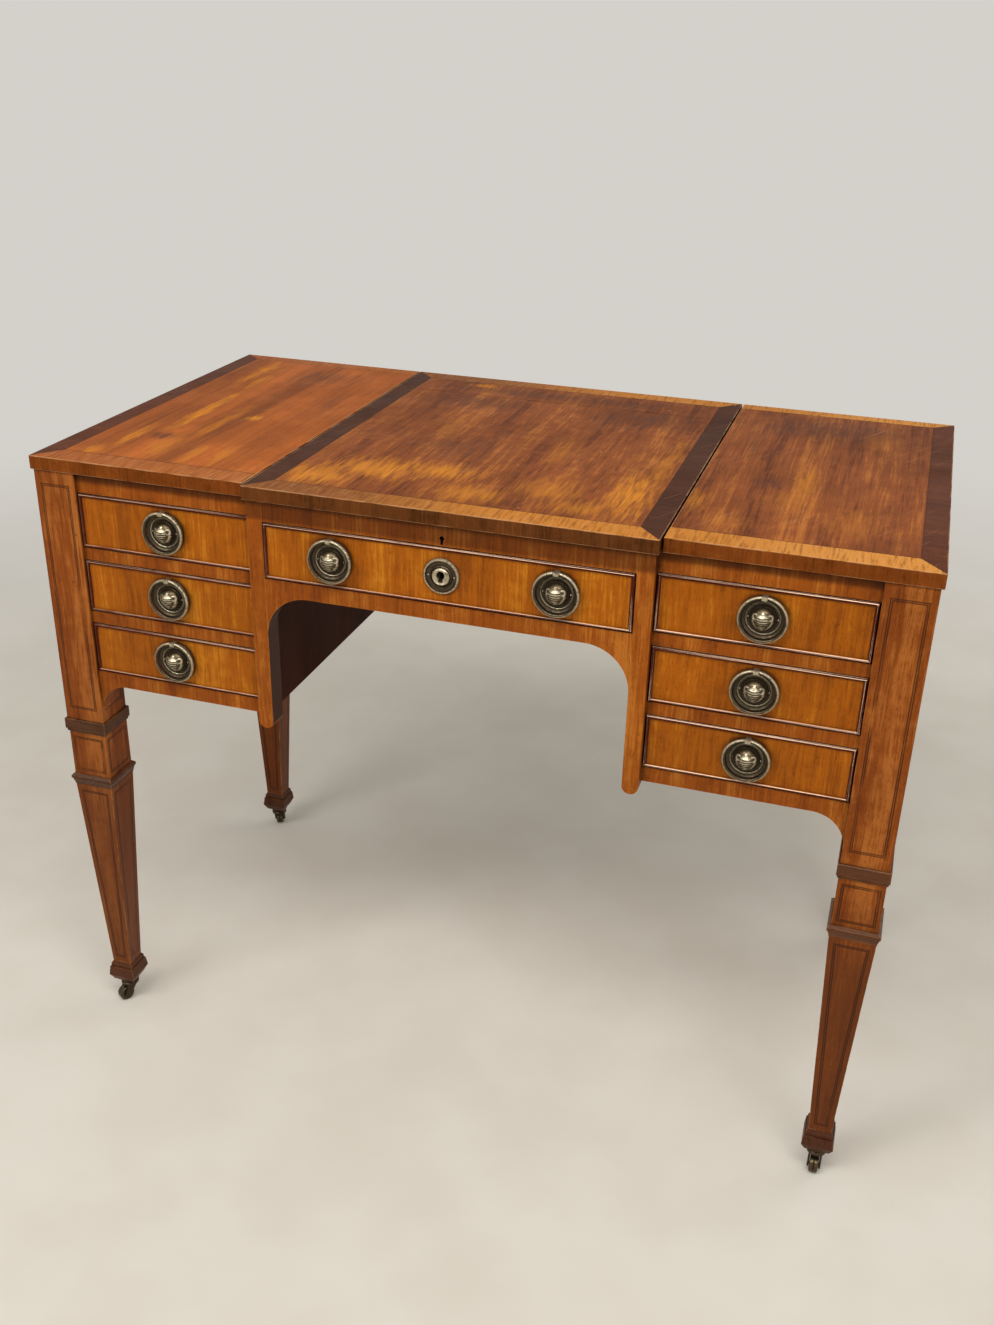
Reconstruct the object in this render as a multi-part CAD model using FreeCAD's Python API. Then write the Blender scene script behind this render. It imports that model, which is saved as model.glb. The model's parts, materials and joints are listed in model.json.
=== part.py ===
import FreeCAD
import Part
import math
import os

Vector = FreeCAD.Vector
X_AXIS = Vector(1, 0, 0)
Y_AXIS = Vector(0, 1, 0)
Z_AXIS = Vector(0, 0, 1)
ORIGIN = Vector(0, 0, 0)

# Whole table, in millimetres. X runs to the right, Y to the back, Z up from the floor.
width_over_tops = 990.0
depth_over_tops = 532.0
table_height = 780.0

# Tops: two fixed side tops, a lid between them and a fixed strip behind the lid.
top_thickness = 16.0
lid_width = 453.0
lid_side_gap = 2.0
lid_step = 9.0
rear_strip_depth = 89.0
seam_gap = 1.2
top_arris = 0.9
side_overhang = 3.0
front_overhang = 2.0
rear_overhang = 18.0

# Legs: a square post, a collar, a panelled block, a moulding, a long taper and a spade foot.
post_square = 51.0
block_square = 49.6
taper_top_square = 50.2
taper_foot_square = 26.0
leg_arris = 0.7
castor_height = 36.0
foot_height = 31.0
moulding_height = 15.0
block_height = 60.0
collar_height = 19.0
post_below_case = 53.5

# Collar: a plain band over a small ovolo. Moulding: a nosing over a cove.
collar_projection = 3.0
collar_band_height = 14.0
collar_step = 1.6
moulding_projection = 3.7
moulding_nose_height = 5.0
moulding_top_slope = 2.0
moulding_root = 0.9

# Spade foot: a fillet, a block that spreads a little and a short taper to the castor.
foot_fillet_square = 31.0
foot_fillet_height = 5.0
foot_bevel_height = 4.0
foot_shoulder_square = 34.0
foot_wide_square = 37.0
foot_wide_height = 9.0
foot_sole_square = 28.0

# Castor: a brass plate with a riveted stem, a swivelling fork and a wheel on an axle.
plate_radius = 13.0
plate_thickness = 3.0
boss_radius = 8.0
boss_height = 3.4
stem_radius = 3.6
stem_head_radius = 5.2
stem_head_height = 2.2
fork_plate_radius = 11.6
fork_plate_top_radius = 9.8
fork_plate_edge = 2.2
fork_plate_thickness = 4.0
fork_cheek_thickness = 2.4
fork_cheek_length = 13.0
fork_eye_radius = 4.6
wheel_radius = 10.0
wheel_width = 10.4
wheel_groove = 0.8
wheel_edge_round = 1.4
axle_radius = 1.8
castor_trail = 8.0
castor_turns = {"front_left": 150.0, "front_right": 178.0, "back_left": 20.0, "back_right": -15.0}
castor_gap = 0.4
running_clearance = 0.05
seat_clearance = 0.02

# Front: how the planes of the posts, the drawers and the centre step.
face_setback = 4.5
centre_step = 11.5
frieze_height = 23.0
divider_height = 14.5
upper_opening = 66.0
middle_opening = 65.0
lower_opening = 64.0
bottom_rail_height = 17.5
rail_depth = 46.5
frieze_depth = 20.0
stile_width = 18.0
lid_over_stile = 3.0
stile_depth = 25.0
stile_drop = 12.5
apron_height = 18.5
apron_corner_radius = 50.0
bracket_radius = 36.0
bracket_thickness = 20.0

# Boards and their joints.
side_panel_thickness = 16.0
side_panel_inset = 4.5
back_panel_thickness = 9.0
back_panel_inset = 3.0
bottom_board_thickness = 6.0
floor_thickness = 4.0
groove_depth = 4.0
tenon_length = 7.0
tenon_shoulder = 3.0
tenon_thickness = 9.0
tongue_thickness = 7.0
runner_width = 30.0
guide_rise = 12.0

# Drawers: veneered fronts with a bead round them, thin sides, a grooved bottom.
drawer_gap = 1.0
runner_gap = 0.3
drawer_back_space = 47.5
centre_drawer_back_gap = 1.8
front_thickness = 18.0
drawer_side_thickness = 9.0
drawer_side_fall = 4.0
drawer_bottom_thickness = 5.0
drawer_bottom_rise = 7.0
drawer_groove = 4.0
drawer_back_fall = 5.0
bead_width = 4.0
bead_let_in = 8.0
bead_proud = 2.0
tail_length = 8.5
tail_root_height = 11.0
tail_spread = 2.2
tail_pitch = 25.0
centre_pull_spacing = 250.0

# Ring pull: a dished round plate, a dome, a knuckle with a threaded post, and a ring.
pull_radius = 22.0
pull_rim_depth = 2.6
pull_edge_depth = 1.6
pull_rim_width = 2.6
pull_dish_depth = 1.3
pull_dish_inner = 14.6
pull_collar_radius = 13.4
pull_collar_depth = 3.2
dome_radius = 12.4
dome_rise = 8.6
knuckle_width = 7.0
knuckle_height = 5.4
knuckle_reach = 10.0
ring_centre_radius = 23.4
ring_wire_radius = 2.1
ring_axis_reach = 6.5
journal_radius = 1.5
journal_reach = 5.2
post_radius = 2.4
post_drop = 1.0
nut_square = 9.0
nut_thickness = 4.0
nut_stand = 1.2

# Escutcheon and keyholes.
escutcheon_radius = 20.0
escutcheon_depth = 2.6
escutcheon_dish = 1.2
escutcheon_rim = 2.6
escutcheon_boss_radius = 8.6
escutcheon_boss_depth = 3.6
keyhole_radius = 2.7
keyhole_slot_width = 2.8
keyhole_slot_drop = 7.0
lid_keyhole_rise = 8.4

# Locks: a drawer lock with a rising bolt, and a lid lock with a hooked strike plate.
lock_width = 44.0
lock_height = 30.0
lock_thickness = 9.0
bolt_width = 12.0
bolt_offset = 6.0
bolt_depth = 5.0
bolt_height = 14.0
bolt_throw = 4.5
bolt_gap = 0.3
bolt_top_cover = 1.0
lid_lock_width = 44.0
lid_lock_thickness = 10.0
lid_lock_bottom_gap = 1.0
strike_thickness = 1.6
strike_gap = 0.4
hook_width = 6.0
hook_depth = 3.0
hook_drop = 9.0
hook_spacing = 24.0
hook_gap = 0.8

# Lid pivots, the quadrant stays and the mirror under the lid.
lid_open_angle = 96.0
pivot_radius = 2.0
pivot_cover = 4.0
pivot_to_back_edge = 10.0
pivot_bore_depth = 14.0
lid_nose_gap = 0.3
lid_nose_run = 2.0
stay_radius = 62.0
stay_width = 7.0
stay_thickness = 3.0
stay_side_gap = 2.5
stay_foot_length = 30.0
stay_foot_width = 12.0
stay_foot_thickness = 2.0
stay_head_width = 10.0
stay_head_length = 3.6
stay_gap = 0.4
guide_width = 8.0
guide_length = 18.0
guide_height = 12.0
mirror_width = 360.0
mirror_depth = 330.0
mirror_rail_width = 22.0
mirror_front_margin = 62.0
mirror_lip = 2.0
mirror_glass_thickness = 4.0
mirror_rebate = 6.0
mirror_glass_gap = 0.4

# Places worked out from the sizes.
boss_reach = pull_collar_depth + dome_rise
carcass_top = table_height - top_thickness
half_width = width_over_tops / 2
reach_front = centre_step - face_setback - front_overhang + boss_reach
top_front_y = -(depth_over_tops - reach_front) / 2
top_back_y = top_front_y + depth_over_tops
post_outer_x = half_width - side_overhang
post_inner_x = post_outer_x - post_square
leg_x = post_outer_x - post_square / 2
post_front_y = top_front_y + front_overhang
post_back_y = post_front_y + post_square
leg_front_y = post_front_y + post_square / 2
leg_rear_face_y = top_back_y - rear_overhang
rear_post_front_y = leg_rear_face_y - post_square
leg_back_y = leg_rear_face_y - post_square / 2
face_y = post_front_y + face_setback
rail_back_y = face_y + rail_depth
centre_face_y = face_y - centre_step
stile_back_y = centre_face_y + stile_depth
frieze_back_y = centre_face_y + frieze_depth
stile_outer_x = lid_width / 2 - lid_over_stile
stile_inner_x = stile_outer_x - stile_width
back_panel_rear_y = leg_rear_face_y - back_panel_inset
back_panel_front_y = back_panel_rear_y - back_panel_thickness
side_panel_outer_x = post_outer_x - side_panel_inset
side_panel_inner_x = side_panel_outer_x - side_panel_thickness
frieze_bottom = carcass_top - frieze_height
upper_bottom = frieze_bottom - upper_opening
middle_top = upper_bottom - divider_height
middle_bottom = middle_top - middle_opening
lower_top = middle_bottom - divider_height
lower_bottom = lower_top - lower_opening
case_bottom = lower_bottom - bottom_rail_height
board_bottom = lower_bottom - bottom_board_thickness
apron_bottom = upper_bottom - apron_height
foot_top = castor_height + foot_height
collar_top = case_bottom - post_below_case
block_top = collar_top - collar_height
block_bottom = block_top - block_height
taper_top = block_bottom - moulding_height
side_top_inner_x = lid_width / 2 + lid_side_gap
lid_front_y = top_front_y - lid_step
strip_front_y = top_back_y - rear_strip_depth
lid_back_y = strip_front_y - seam_gap
pivot_y = lid_back_y - pivot_to_back_edge
pivot_z = table_height - pivot_cover
axle_z = wheel_radius
fork_half_gap = wheel_width / 2 + castor_gap
pedestal_x = (stile_outer_x + post_inner_x) / 2
floor_bottom = frieze_bottom + seat_clearance
floor_top = floor_bottom + floor_thickness
stay_outer_x = stile_inner_x - stay_side_gap
stay_inner_x = stay_outer_x - stay_thickness
stay_front_y = pivot_y - stay_radius - stay_head_width / 2
drawer_length = back_panel_front_y - drawer_back_space - face_y
centre_drawer_length = stay_front_y - centre_drawer_back_gap - centre_face_y


def box(x0, x1, y0, y1, z0, z1):
    """A board between two corners."""
    return Part.makeBox(x1 - x0, y1 - y0, z1 - z0, Vector(x0, y0, z0))


def rounded(solid, radius, wanted):
    """The solid with the edges that pass the test rounded a little."""
    edges = [edge for edge in solid.Edges if wanted(edge)]
    return solid.makeFillet(radius, edges)


def along(edge, axis):
    """True for a straight edge that lies along the axis."""
    run = edge.Vertexes[-1].Point.sub(edge.Vertexes[0].Point)
    return run.Length > 0 and abs(run.dot(axis)) / run.Length > 0.999


def mirrored(solid):
    """The same piece on the other side of the table."""
    return solid.mirror(ORIGIN, X_AXIS)


def cylinder(radius, length, start, direction):
    """A round bar from a start point along a direction."""
    return Part.makeCylinder(radius, length, start, direction)


def prism(points, axis, length):
    """A straight solid on an outline of points."""
    wire = Part.makePolygon(list(points) + [points[0]])
    return Part.Face(wire).extrude(Vector(axis).multiply(length))


def square_loft(levels, x, y):
    """A square-sectioned solid through (height, side) levels."""
    wires = []
    for z, side in levels:
        half = side / 2
        corners = [(-half, -half), (half, -half), (half, half), (-half, half)]
        points = [Vector(x + across, y + back, z) for across, back in corners]
        wires.append(Part.makePolygon(points + [points[0]]))
    return Part.makeLoft(wires, True, True)


def turned(outline, start, direction):
    """A solid of revolution from (radius, reach) pairs, standing on a start point.

    A third value in a pair makes the stretch up to it an arc through that bulge point.
    """
    edges = []
    last = None
    for step in outline:
        point = Vector(step[0], 0, step[1])
        if last is not None:
            if len(step) == 4:
                through = Vector(step[2], 0, step[3])
                edges.append(Part.Arc(last, through, point).toShape())
            else:
                edges.append(Part.LineSegment(last, point).toShape())
        last = point
    first = Vector(outline[0][0], 0, outline[0][1])
    edges.append(Part.LineSegment(last, first).toShape())
    solid = Part.Face(Part.Wire(edges)).revolve(ORIGIN, Z_AXIS, 360)
    solid.Placement = FreeCAD.Placement(start, FreeCAD.Rotation(Z_AXIS, direction))
    return solid


def cut_all(solid, tools):
    """The solid with every tool cut from it."""
    for tool in tools:
        solid = solid.cut(tool)
    return solid


def save(name, solids):
    """Write one node, which may hold several separate solids."""
    pieces = solids if isinstance(solids, list) else [solids]
    loose = []
    for piece in pieces:
        loose.extend(piece.Solids)
    shape = loose[0] if len(loose) == 1 else Part.makeCompound(loose)
    shape.exportStep("parts/" + name + ".step")


def rail(x0, x1, y0, y1, z0, z1):
    """A cross rail with a stub tenon at each end."""
    body = box(x0, x1, y0, y1, z0, z1)
    tenon = box(x0 - tenon_length, x1 + tenon_length,
                y0 + tenon_shoulder, y0 + tenon_shoulder + tenon_thickness,
                z0 + tenon_shoulder, z1 - tenon_shoulder)
    return body.fuse(tenon).removeSplitter()


def pedestal_rails():
    """Frieze rail, two dividers and bottom rail of the right-hand pedestal."""
    levels = [(frieze_bottom, carcass_top, frieze_depth),
              (middle_top, upper_bottom, rail_depth),
              (lower_top, middle_bottom, rail_depth),
              (case_bottom, lower_bottom, rail_depth)]
    return [rail(stile_outer_x, post_inner_x, face_y, face_y + depth, low, high)
            for low, high, depth in levels]


def corner_bracket():
    """The quarter-round bracket under the bottom rail, beside the right-hand leg."""
    corner = Vector(post_inner_x, face_y, case_bottom)
    left = Vector(post_inner_x - bracket_radius, face_y, case_bottom)
    low = Vector(post_inner_x, face_y, case_bottom - bracket_radius)
    diagonal = bracket_radius * math.sqrt(0.5)
    middle = Vector(left.x + diagonal, face_y, low.z + diagonal)
    wire = Part.Wire([Part.LineSegment(corner, left).toShape(),
                      Part.Arc(left, middle, low).toShape(),
                      Part.LineSegment(low, corner).toShape()])
    return Part.Face(wire).extrude(Vector(0, bracket_thickness, 0))


def outer_side_panel():
    """The right-hand end panel, tongued into both right-hand posts."""
    panel = box(side_panel_inner_x, side_panel_outer_x, post_back_y, rear_post_front_y,
                case_bottom, carcass_top)
    middle = (side_panel_inner_x + side_panel_outer_x) / 2
    tongue = box(middle - tongue_thickness / 2, middle + tongue_thickness / 2,
                 post_back_y - groove_depth, rear_post_front_y + groove_depth,
                 case_bottom + tenon_shoulder, carcass_top - tenon_shoulder)
    return panel.fuse(tongue).removeSplitter()


def inner_side_panel():
    """The right-hand wall of the kneehole, from the stile to the back."""
    return box(stile_inner_x, stile_outer_x, stile_back_y, back_panel_rear_y,
               board_bottom, carcass_top)


def pedestal_back():
    """The back of the right-hand pedestal, tongued into the rear post."""
    panel = box(stile_outer_x, post_inner_x, back_panel_front_y, back_panel_rear_y,
                case_bottom, carcass_top)
    inset = (back_panel_thickness - tongue_thickness) / 2
    tongue = box(stile_outer_x, post_inner_x + groove_depth,
                 back_panel_front_y + inset, back_panel_rear_y - inset,
                 case_bottom + tenon_shoulder, carcass_top - tenon_shoulder)
    return panel.fuse(tongue).removeSplitter()


def centre_back():
    """The rail that closes the back of the centre, above the kneehole."""
    return box(-stile_inner_x, stile_inner_x, back_panel_front_y, back_panel_rear_y,
               apron_bottom, carcass_top)


def pedestal_bottom():
    """The board that the lowest drawer of the right-hand pedestal runs on."""
    return box(stile_outer_x, post_inner_x, rail_back_y, back_panel_front_y,
               board_bottom, lower_bottom)


def pedestal_runners():
    """Runners, guides and top kickers inside the right-hand pedestal."""
    pieces = []
    guide_ends = (post_back_y, rear_post_front_y)
    for low, high in [(middle_top, upper_bottom), (lower_top, middle_bottom)]:
        pieces.append(box(stile_outer_x, stile_outer_x + runner_width,
                          rail_back_y, back_panel_front_y, low, high))
        pieces.append(box(post_inner_x - runner_width, post_inner_x,
                          rail_back_y, back_panel_front_y, low, high))
        pieces.append(box(post_inner_x, side_panel_inner_x, *guide_ends, low, high + guide_rise))
    pieces.append(box(post_inner_x, side_panel_inner_x, *guide_ends,
                      board_bottom, lower_bottom + guide_rise))
    frieze_rear_y = face_y + frieze_depth
    pieces.append(box(stile_outer_x, stile_outer_x + runner_width,
                      frieze_rear_y, back_panel_front_y, frieze_bottom, carcass_top))
    pieces.append(box(post_inner_x - runner_width, post_inner_x,
                      frieze_rear_y, back_panel_front_y, frieze_bottom, carcass_top))
    return pieces


def centre_runner():
    """The right-hand runner of the centre drawer, on the kneehole wall."""
    return box(stile_inner_x - runner_width, stile_inner_x, stile_back_y, back_panel_front_y,
               upper_bottom - divider_height, upper_bottom)


def centre_stile(joined):
    """The right-hand stile of the centre, with its rounded foot below the pedestal."""
    tip_radius = stile_width / 2
    tip_bottom = case_bottom - stile_drop
    upright = box(stile_inner_x, stile_outer_x, centre_face_y, stile_back_y,
                  tip_bottom + tip_radius, carcass_top)
    tip = cylinder(tip_radius, stile_depth,
                   Vector(stile_inner_x + tip_radius, centre_face_y, tip_bottom + tip_radius),
                   Y_AXIS)
    return cut_all(upright.fuse(tip).removeSplitter(), joined)


def keyhole(x, z, y0, y1):
    """The space of a keyhole: a round eye over a slot, open from y0 to y1."""
    eye = cylinder(keyhole_radius, y1 - y0, Vector(x, y0, z), Y_AXIS)
    half = keyhole_slot_width / 2
    slot = box(x - half, x + half, y0, y1, z - keyhole_slot_drop, z)
    return eye.fuse(slot)


def centre_frieze():
    """The rail under the front of the lid, with the lid's keyhole and the bolt's mortise."""
    body = rail(-stile_inner_x, stile_inner_x, centre_face_y, frieze_back_y,
                frieze_bottom, carcass_top)
    hole = keyhole(0, frieze_bottom + lid_keyhole_rise, centre_face_y, frieze_back_y)
    bolt_y = centre_face_y + front_thickness - lock_thickness + bolt_top_cover
    mortise = box(bolt_offset - bolt_gap, bolt_offset + bolt_width + bolt_gap,
                  bolt_y - bolt_gap, bolt_y + bolt_depth + bolt_gap,
                  frieze_bottom, frieze_bottom + bolt_throw + bolt_gap)
    return body.cut(hole).cut(mortise)


def kneehole_apron():
    """The rail under the centre drawer, rounded down at both ends into the stiles."""
    bottom = apron_bottom
    radius = apron_corner_radius
    half = stile_inner_x
    diagonal = radius * math.sqrt(0.5)
    y = centre_face_y
    centre_x = half - radius
    centre_z = bottom - radius

    def at(x, z):
        return Vector(x, y, z)

    top_left = at(-half, upper_bottom)
    top_right = at(half, upper_bottom)
    right_tip = at(half, centre_z)
    right_arch = at(centre_x, bottom)
    left_arch = at(-centre_x, bottom)
    left_tip = at(-half, centre_z)
    edges = [Part.LineSegment(top_left, top_right).toShape(),
             Part.LineSegment(top_right, right_tip).toShape(),
             Part.Arc(right_tip, at(centre_x + diagonal, centre_z + diagonal), right_arch).toShape(),
             Part.LineSegment(right_arch, left_arch).toShape(),
             Part.Arc(left_arch, at(-centre_x - diagonal, centre_z + diagonal), left_tip).toShape(),
             Part.LineSegment(left_tip, top_left).toShape()]
    body = Part.Face(Part.Wire(edges)).extrude(Vector(0, frieze_depth, 0))
    tenon = box(-half - tenon_length, half + tenon_length,
                y + tenon_shoulder, y + tenon_shoulder + tenon_thickness,
                bottom + tenon_shoulder, upper_bottom - tenon_shoulder)
    return body.fuse(tenon).removeSplitter()


def lid_lock_space(extra):
    """The block that the lid lock fills, grown on its sides and under it by extra."""
    half = lid_lock_width / 2
    return box(-half - extra, half + extra, frieze_back_y, frieze_back_y + lid_lock_thickness + extra,
               frieze_bottom + lid_lock_bottom_gap - extra, carcass_top - strike_thickness - strike_gap)


def well_floor():
    """The floor of the shallow well under the lid, grooved into the kneehole walls."""
    board = box(-stile_inner_x - groove_depth, stile_inner_x + groove_depth,
                stile_back_y, back_panel_front_y, floor_bottom, floor_top)
    front = box(-stile_inner_x, stile_inner_x, frieze_back_y, stile_back_y, floor_bottom, floor_top)
    slot = stay_bar(stay_gap, lid_open_angle / 2)
    cuts = [lid_lock_space(bolt_gap), slot, mirrored(slot)]
    return cut_all(board.fuse(front).removeSplitter(), cuts)


def hook_places():
    """Left and right places of the strike plate's two hooks."""
    return [-hook_spacing / 2, hook_spacing / 2]


def hook(x, extra, bottom, top):
    """One hook of the strike plate, or its slot when grown by extra."""
    y = frieze_back_y + lid_lock_thickness / 2
    return box(x - hook_width / 2 - extra, x + hook_width / 2 + extra,
               y - hook_depth / 2 - extra, y + hook_depth / 2 + extra, bottom, top)


def lid_lock():
    """The lid lock's case on the back of the frieze rail, slotted for the hooks."""
    case = lid_lock_space(0)
    case = case.cut(keyhole(0, frieze_bottom + lid_keyhole_rise,
                            frieze_back_y, frieze_back_y + lid_lock_thickness / 2))
    under_lid = carcass_top - strike_thickness
    slots = [hook(x, hook_gap, under_lid - hook_drop - hook_gap, under_lid) for x in hook_places()]
    return cut_all(case, slots)


def lid_strike():
    """The brass plate under the lid with two hooks that enter the lock."""
    half = lid_lock_width / 2
    plate = box(-half, half, frieze_back_y, frieze_back_y + lid_lock_thickness,
                carcass_top - strike_thickness, carcass_top)
    for x in hook_places():
        under_lid = carcass_top - strike_thickness
        plate = plate.fuse(hook(x, 0, under_lid - hook_drop, under_lid))
    return plate.removeSplitter()


def pivot(bore):
    """The right-hand lid pivot, or the bore for it when bore is a clearance."""
    start = lid_width / 2 - pivot_bore_depth
    length = 2 * pivot_bore_depth + lid_side_gap
    return cylinder(pivot_radius + bore, length, Vector(start, pivot_y, pivot_z), X_AXIS)


def side_top():
    """The fixed top of the right-hand pedestal."""
    board = box(side_top_inner_x, half_width, top_front_y, top_back_y, carcass_top, table_height)
    middle = Vector(half_width, 0, table_height)

    def outer_edge(edge):
        centre = edge.CenterOfMass
        return (abs(centre.y - top_front_y) < top_arris or abs(centre.x - middle.x) < top_arris
                or abs(centre.z - middle.z) < top_arris)

    return rounded(board, top_arris, outer_edge).cut(pivot(seat_clearance))


def lid():
    """The lid: a board whose back lower corner is rounded about the pivots."""
    x = -lid_width / 2

    def at(y, z):
        return Vector(x, y, z)

    nose = pivot_z - carcass_top - lid_nose_gap
    nose_end_z = pivot_z - math.sqrt(nose ** 2 - pivot_to_back_edge ** 2)
    half_turn = math.atan2(pivot_to_back_edge, pivot_z - nose_end_z) / 2
    points = [at(lid_front_y, table_height), at(lid_back_y, table_height),
              at(lid_back_y, nose_end_z), at(pivot_y, pivot_z - nose),
              at(pivot_y - lid_nose_run, carcass_top), at(lid_front_y, carcass_top)]
    bulge = at(pivot_y + nose * math.sin(half_turn), pivot_z - nose * math.cos(half_turn))
    edges = [Part.LineSegment(points[0], points[1]).toShape(),
             Part.LineSegment(points[1], points[2]).toShape(),
             Part.Arc(points[2], bulge, points[3]).toShape(),
             Part.LineSegment(points[3], points[4]).toShape(),
             Part.LineSegment(points[4], points[5]).toShape(),
             Part.LineSegment(points[5], points[0]).toShape()]
    board = Part.Face(Part.Wire(edges)).extrude(Vector(lid_width, 0, 0))

    def front_edge(edge):
        return abs(edge.CenterOfMass.y - lid_front_y) < top_arris

    board = rounded(board, top_arris, front_edge)
    return board.cut(pivot(running_clearance)).cut(mirrored(pivot(running_clearance)))


def quadrant(inner, outer, start, end, x0, x1):
    """A bar bent round the lid's pivot, between two radii and two angles.

    An angle of 0 points to the front, and 90 points straight down.
    """
    def at(radius, angle):
        turn = math.radians(angle)
        return Vector(x0, pivot_y - radius * math.cos(turn), pivot_z - radius * math.sin(turn))

    middle = (start + end) / 2
    edges = [Part.Arc(at(outer, start), at(outer, middle), at(outer, end)).toShape(),
             Part.LineSegment(at(outer, end), at(inner, end)).toShape(),
             Part.Arc(at(inner, end), at(inner, middle), at(inner, start)).toShape(),
             Part.LineSegment(at(inner, start), at(outer, start)).toShape()]
    return Part.Face(Part.Wire(edges)).extrude(Vector(x1 - x0, 0, 0))


def stay_bar(extra, end):
    """The stay's bent bar from the lid to an angle, or its slot when grown by extra."""
    half = stay_width / 2 + extra
    return quadrant(stay_radius - half, stay_radius + half, 0, end,
                    stay_inner_x - extra, stay_outer_x + extra)


def lid_stay():
    """The right-hand stay: a foot under the lid, a bent bar and the head that stops it."""
    half_head = stay_head_width / 2
    drop = pivot_z - floor_bottom + stay_gap
    stop_angle = math.degrees(math.asin(drop / (stay_radius - half_head)))
    head_start = stop_angle + lid_open_angle
    head_end = head_start + math.degrees(stay_head_length / stay_radius)
    bar = stay_bar(0, head_end)
    head = quadrant(stay_radius - half_head, stay_radius + half_head, head_start, head_end,
                    stay_inner_x, stay_outer_x)
    above = box(stay_inner_x, stay_outer_x, pivot_y - stay_radius - stay_width, pivot_y,
                carcass_top, table_height)
    foot_y = pivot_y - stay_radius
    foot = box(stay_outer_x - stay_foot_width, stay_outer_x,
               foot_y - stay_foot_length / 2, foot_y + stay_foot_length / 2,
               carcass_top - stay_foot_thickness, carcass_top)
    return bar.fuse(head).cut(above).fuse(foot).removeSplitter()


def stay_guide():
    """The slotted brass guide that the right-hand stay runs through, on the kneehole wall."""
    rise = pivot_z - floor_top - guide_height / 2
    y = pivot_y - math.sqrt(stay_radius ** 2 - rise ** 2)
    block = box(stile_inner_x - guide_width, stile_inner_x,
                y - guide_length / 2, y + guide_length / 2, floor_top, floor_top + guide_height)
    return block.cut(stay_bar(stay_gap, lid_open_angle))


def rear_strip():
    """The fixed strip behind the lid."""
    return box(-lid_width / 2, lid_width / 2, strip_front_y, top_back_y, carcass_top, table_height)


def mirror_box(margin, z0, z1):
    """A block over the mirror's place, with its edges set in by a margin."""
    y0 = lid_front_y + mirror_front_margin
    half = mirror_width / 2
    return box(-half + margin, half - margin, y0 + margin, y0 + mirror_depth - margin, z0, z1)


def mirror_parts():
    """Four mitred frame rails under the lid, and the glass in their rebate."""
    lip_top = carcass_top - mirror_glass_thickness
    bottom = lip_top - mirror_lip
    sight = mirror_rail_width
    glass_margin = mirror_rail_width - mirror_rebate
    ring = mirror_box(0, bottom, carcass_top).cut(mirror_box(sight, bottom, carcass_top))
    ring = ring.cut(mirror_box(glass_margin, lip_top, carcass_top))
    glass = mirror_box(glass_margin + mirror_glass_gap, lip_top, carcass_top)
    y0 = lid_front_y + mirror_front_margin
    half = mirror_width / 2
    corners = [Vector(-half, y0, bottom), Vector(half, y0, bottom),
               Vector(half, y0 + mirror_depth, bottom), Vector(-half, y0 + mirror_depth, bottom)]
    inner = [Vector(-half + sight, y0 + sight, bottom), Vector(half - sight, y0 + sight, bottom),
             Vector(half - sight, y0 + mirror_depth - sight, bottom),
             Vector(-half + sight, y0 + mirror_depth - sight, bottom)]
    rails = []
    for index in range(len(corners)):
        after = (index + 1) % len(corners)
        outline = [corners[index], corners[after], inner[after], inner[index]]
        wedge = prism(outline, Z_AXIS, carcass_top - bottom)
        rails.append(ring.common(wedge))
    return rails, glass


def leg(x, y):
    """One leg: post, block and taper in one timber, without its mouldings."""
    post = box(x - post_square / 2, x + post_square / 2, y - post_square / 2, y + post_square / 2,
               collar_top, carcass_top)
    post = rounded(post, leg_arris, lambda edge: along(edge, Z_AXIS))
    half = block_square / 2
    core = box(x - half, x + half, y - half, y + half, taper_top, collar_top)
    core = rounded(core, leg_arris, lambda edge: along(edge, Z_AXIS))
    taper = square_loft([(foot_top, taper_foot_square), (taper_top, taper_top_square)], x, y)
    return post.fuse(core).fuse(taper).removeSplitter()


def mitred_strips(profile, x, y):
    """Four mitred strips round a square leg, from (projection, height) profile points."""
    half = block_square / 2
    reach = max(point[0] for point in profile) + half
    points = [Vector(-reach, -half - out, z) for out, z in profile]
    bar = prism(points, X_AXIS, 2 * reach)
    low = min(point[1] for point in profile)
    high = max(point[1] for point in profile)
    wedge = prism([Vector(0, 0, low), Vector(-reach, -reach, low), Vector(reach, -reach, low)],
                  Z_AXIS, high - low)
    strip = bar.common(wedge)
    strips = []
    for turn in range(4):
        copy = strip.copy()
        copy.rotate(ORIGIN, Z_AXIS, 90 * turn)
        copy.translate(Vector(x, y, 0))
        strips.append(copy)
    return strips


def leg_collar(x, y):
    """The collar between the post and the block."""
    band_bottom = collar_top - collar_band_height
    profile = [(0, block_top), (collar_step, block_top + collar_step),
               (collar_step, band_bottom), (collar_projection, band_bottom),
               (collar_projection, collar_top - collar_step / 2),
               (collar_projection - collar_step / 2, collar_top), (0, collar_top)]
    return mitred_strips(profile, x, y)


def leg_moulding(x, y):
    """The projecting moulding between the block and the taper."""
    nose_top = block_bottom - moulding_top_slope
    nose_bottom = nose_top - moulding_nose_height
    cove = moulding_root + (moulding_projection - moulding_root) / 3
    profile = [(0, taper_top), (moulding_root, taper_top),
               (moulding_root, taper_top + moulding_top_slope),
               (cove, (taper_top + nose_bottom) / 2 + moulding_root),
               (moulding_projection - moulding_root, nose_bottom),
               (moulding_projection, nose_bottom + moulding_root),
               (moulding_projection, nose_top - moulding_root),
               (moulding_projection - moulding_root, nose_top),
               (moulding_root, block_bottom), (0, block_bottom)]
    return mitred_strips(profile, x, y)


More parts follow.
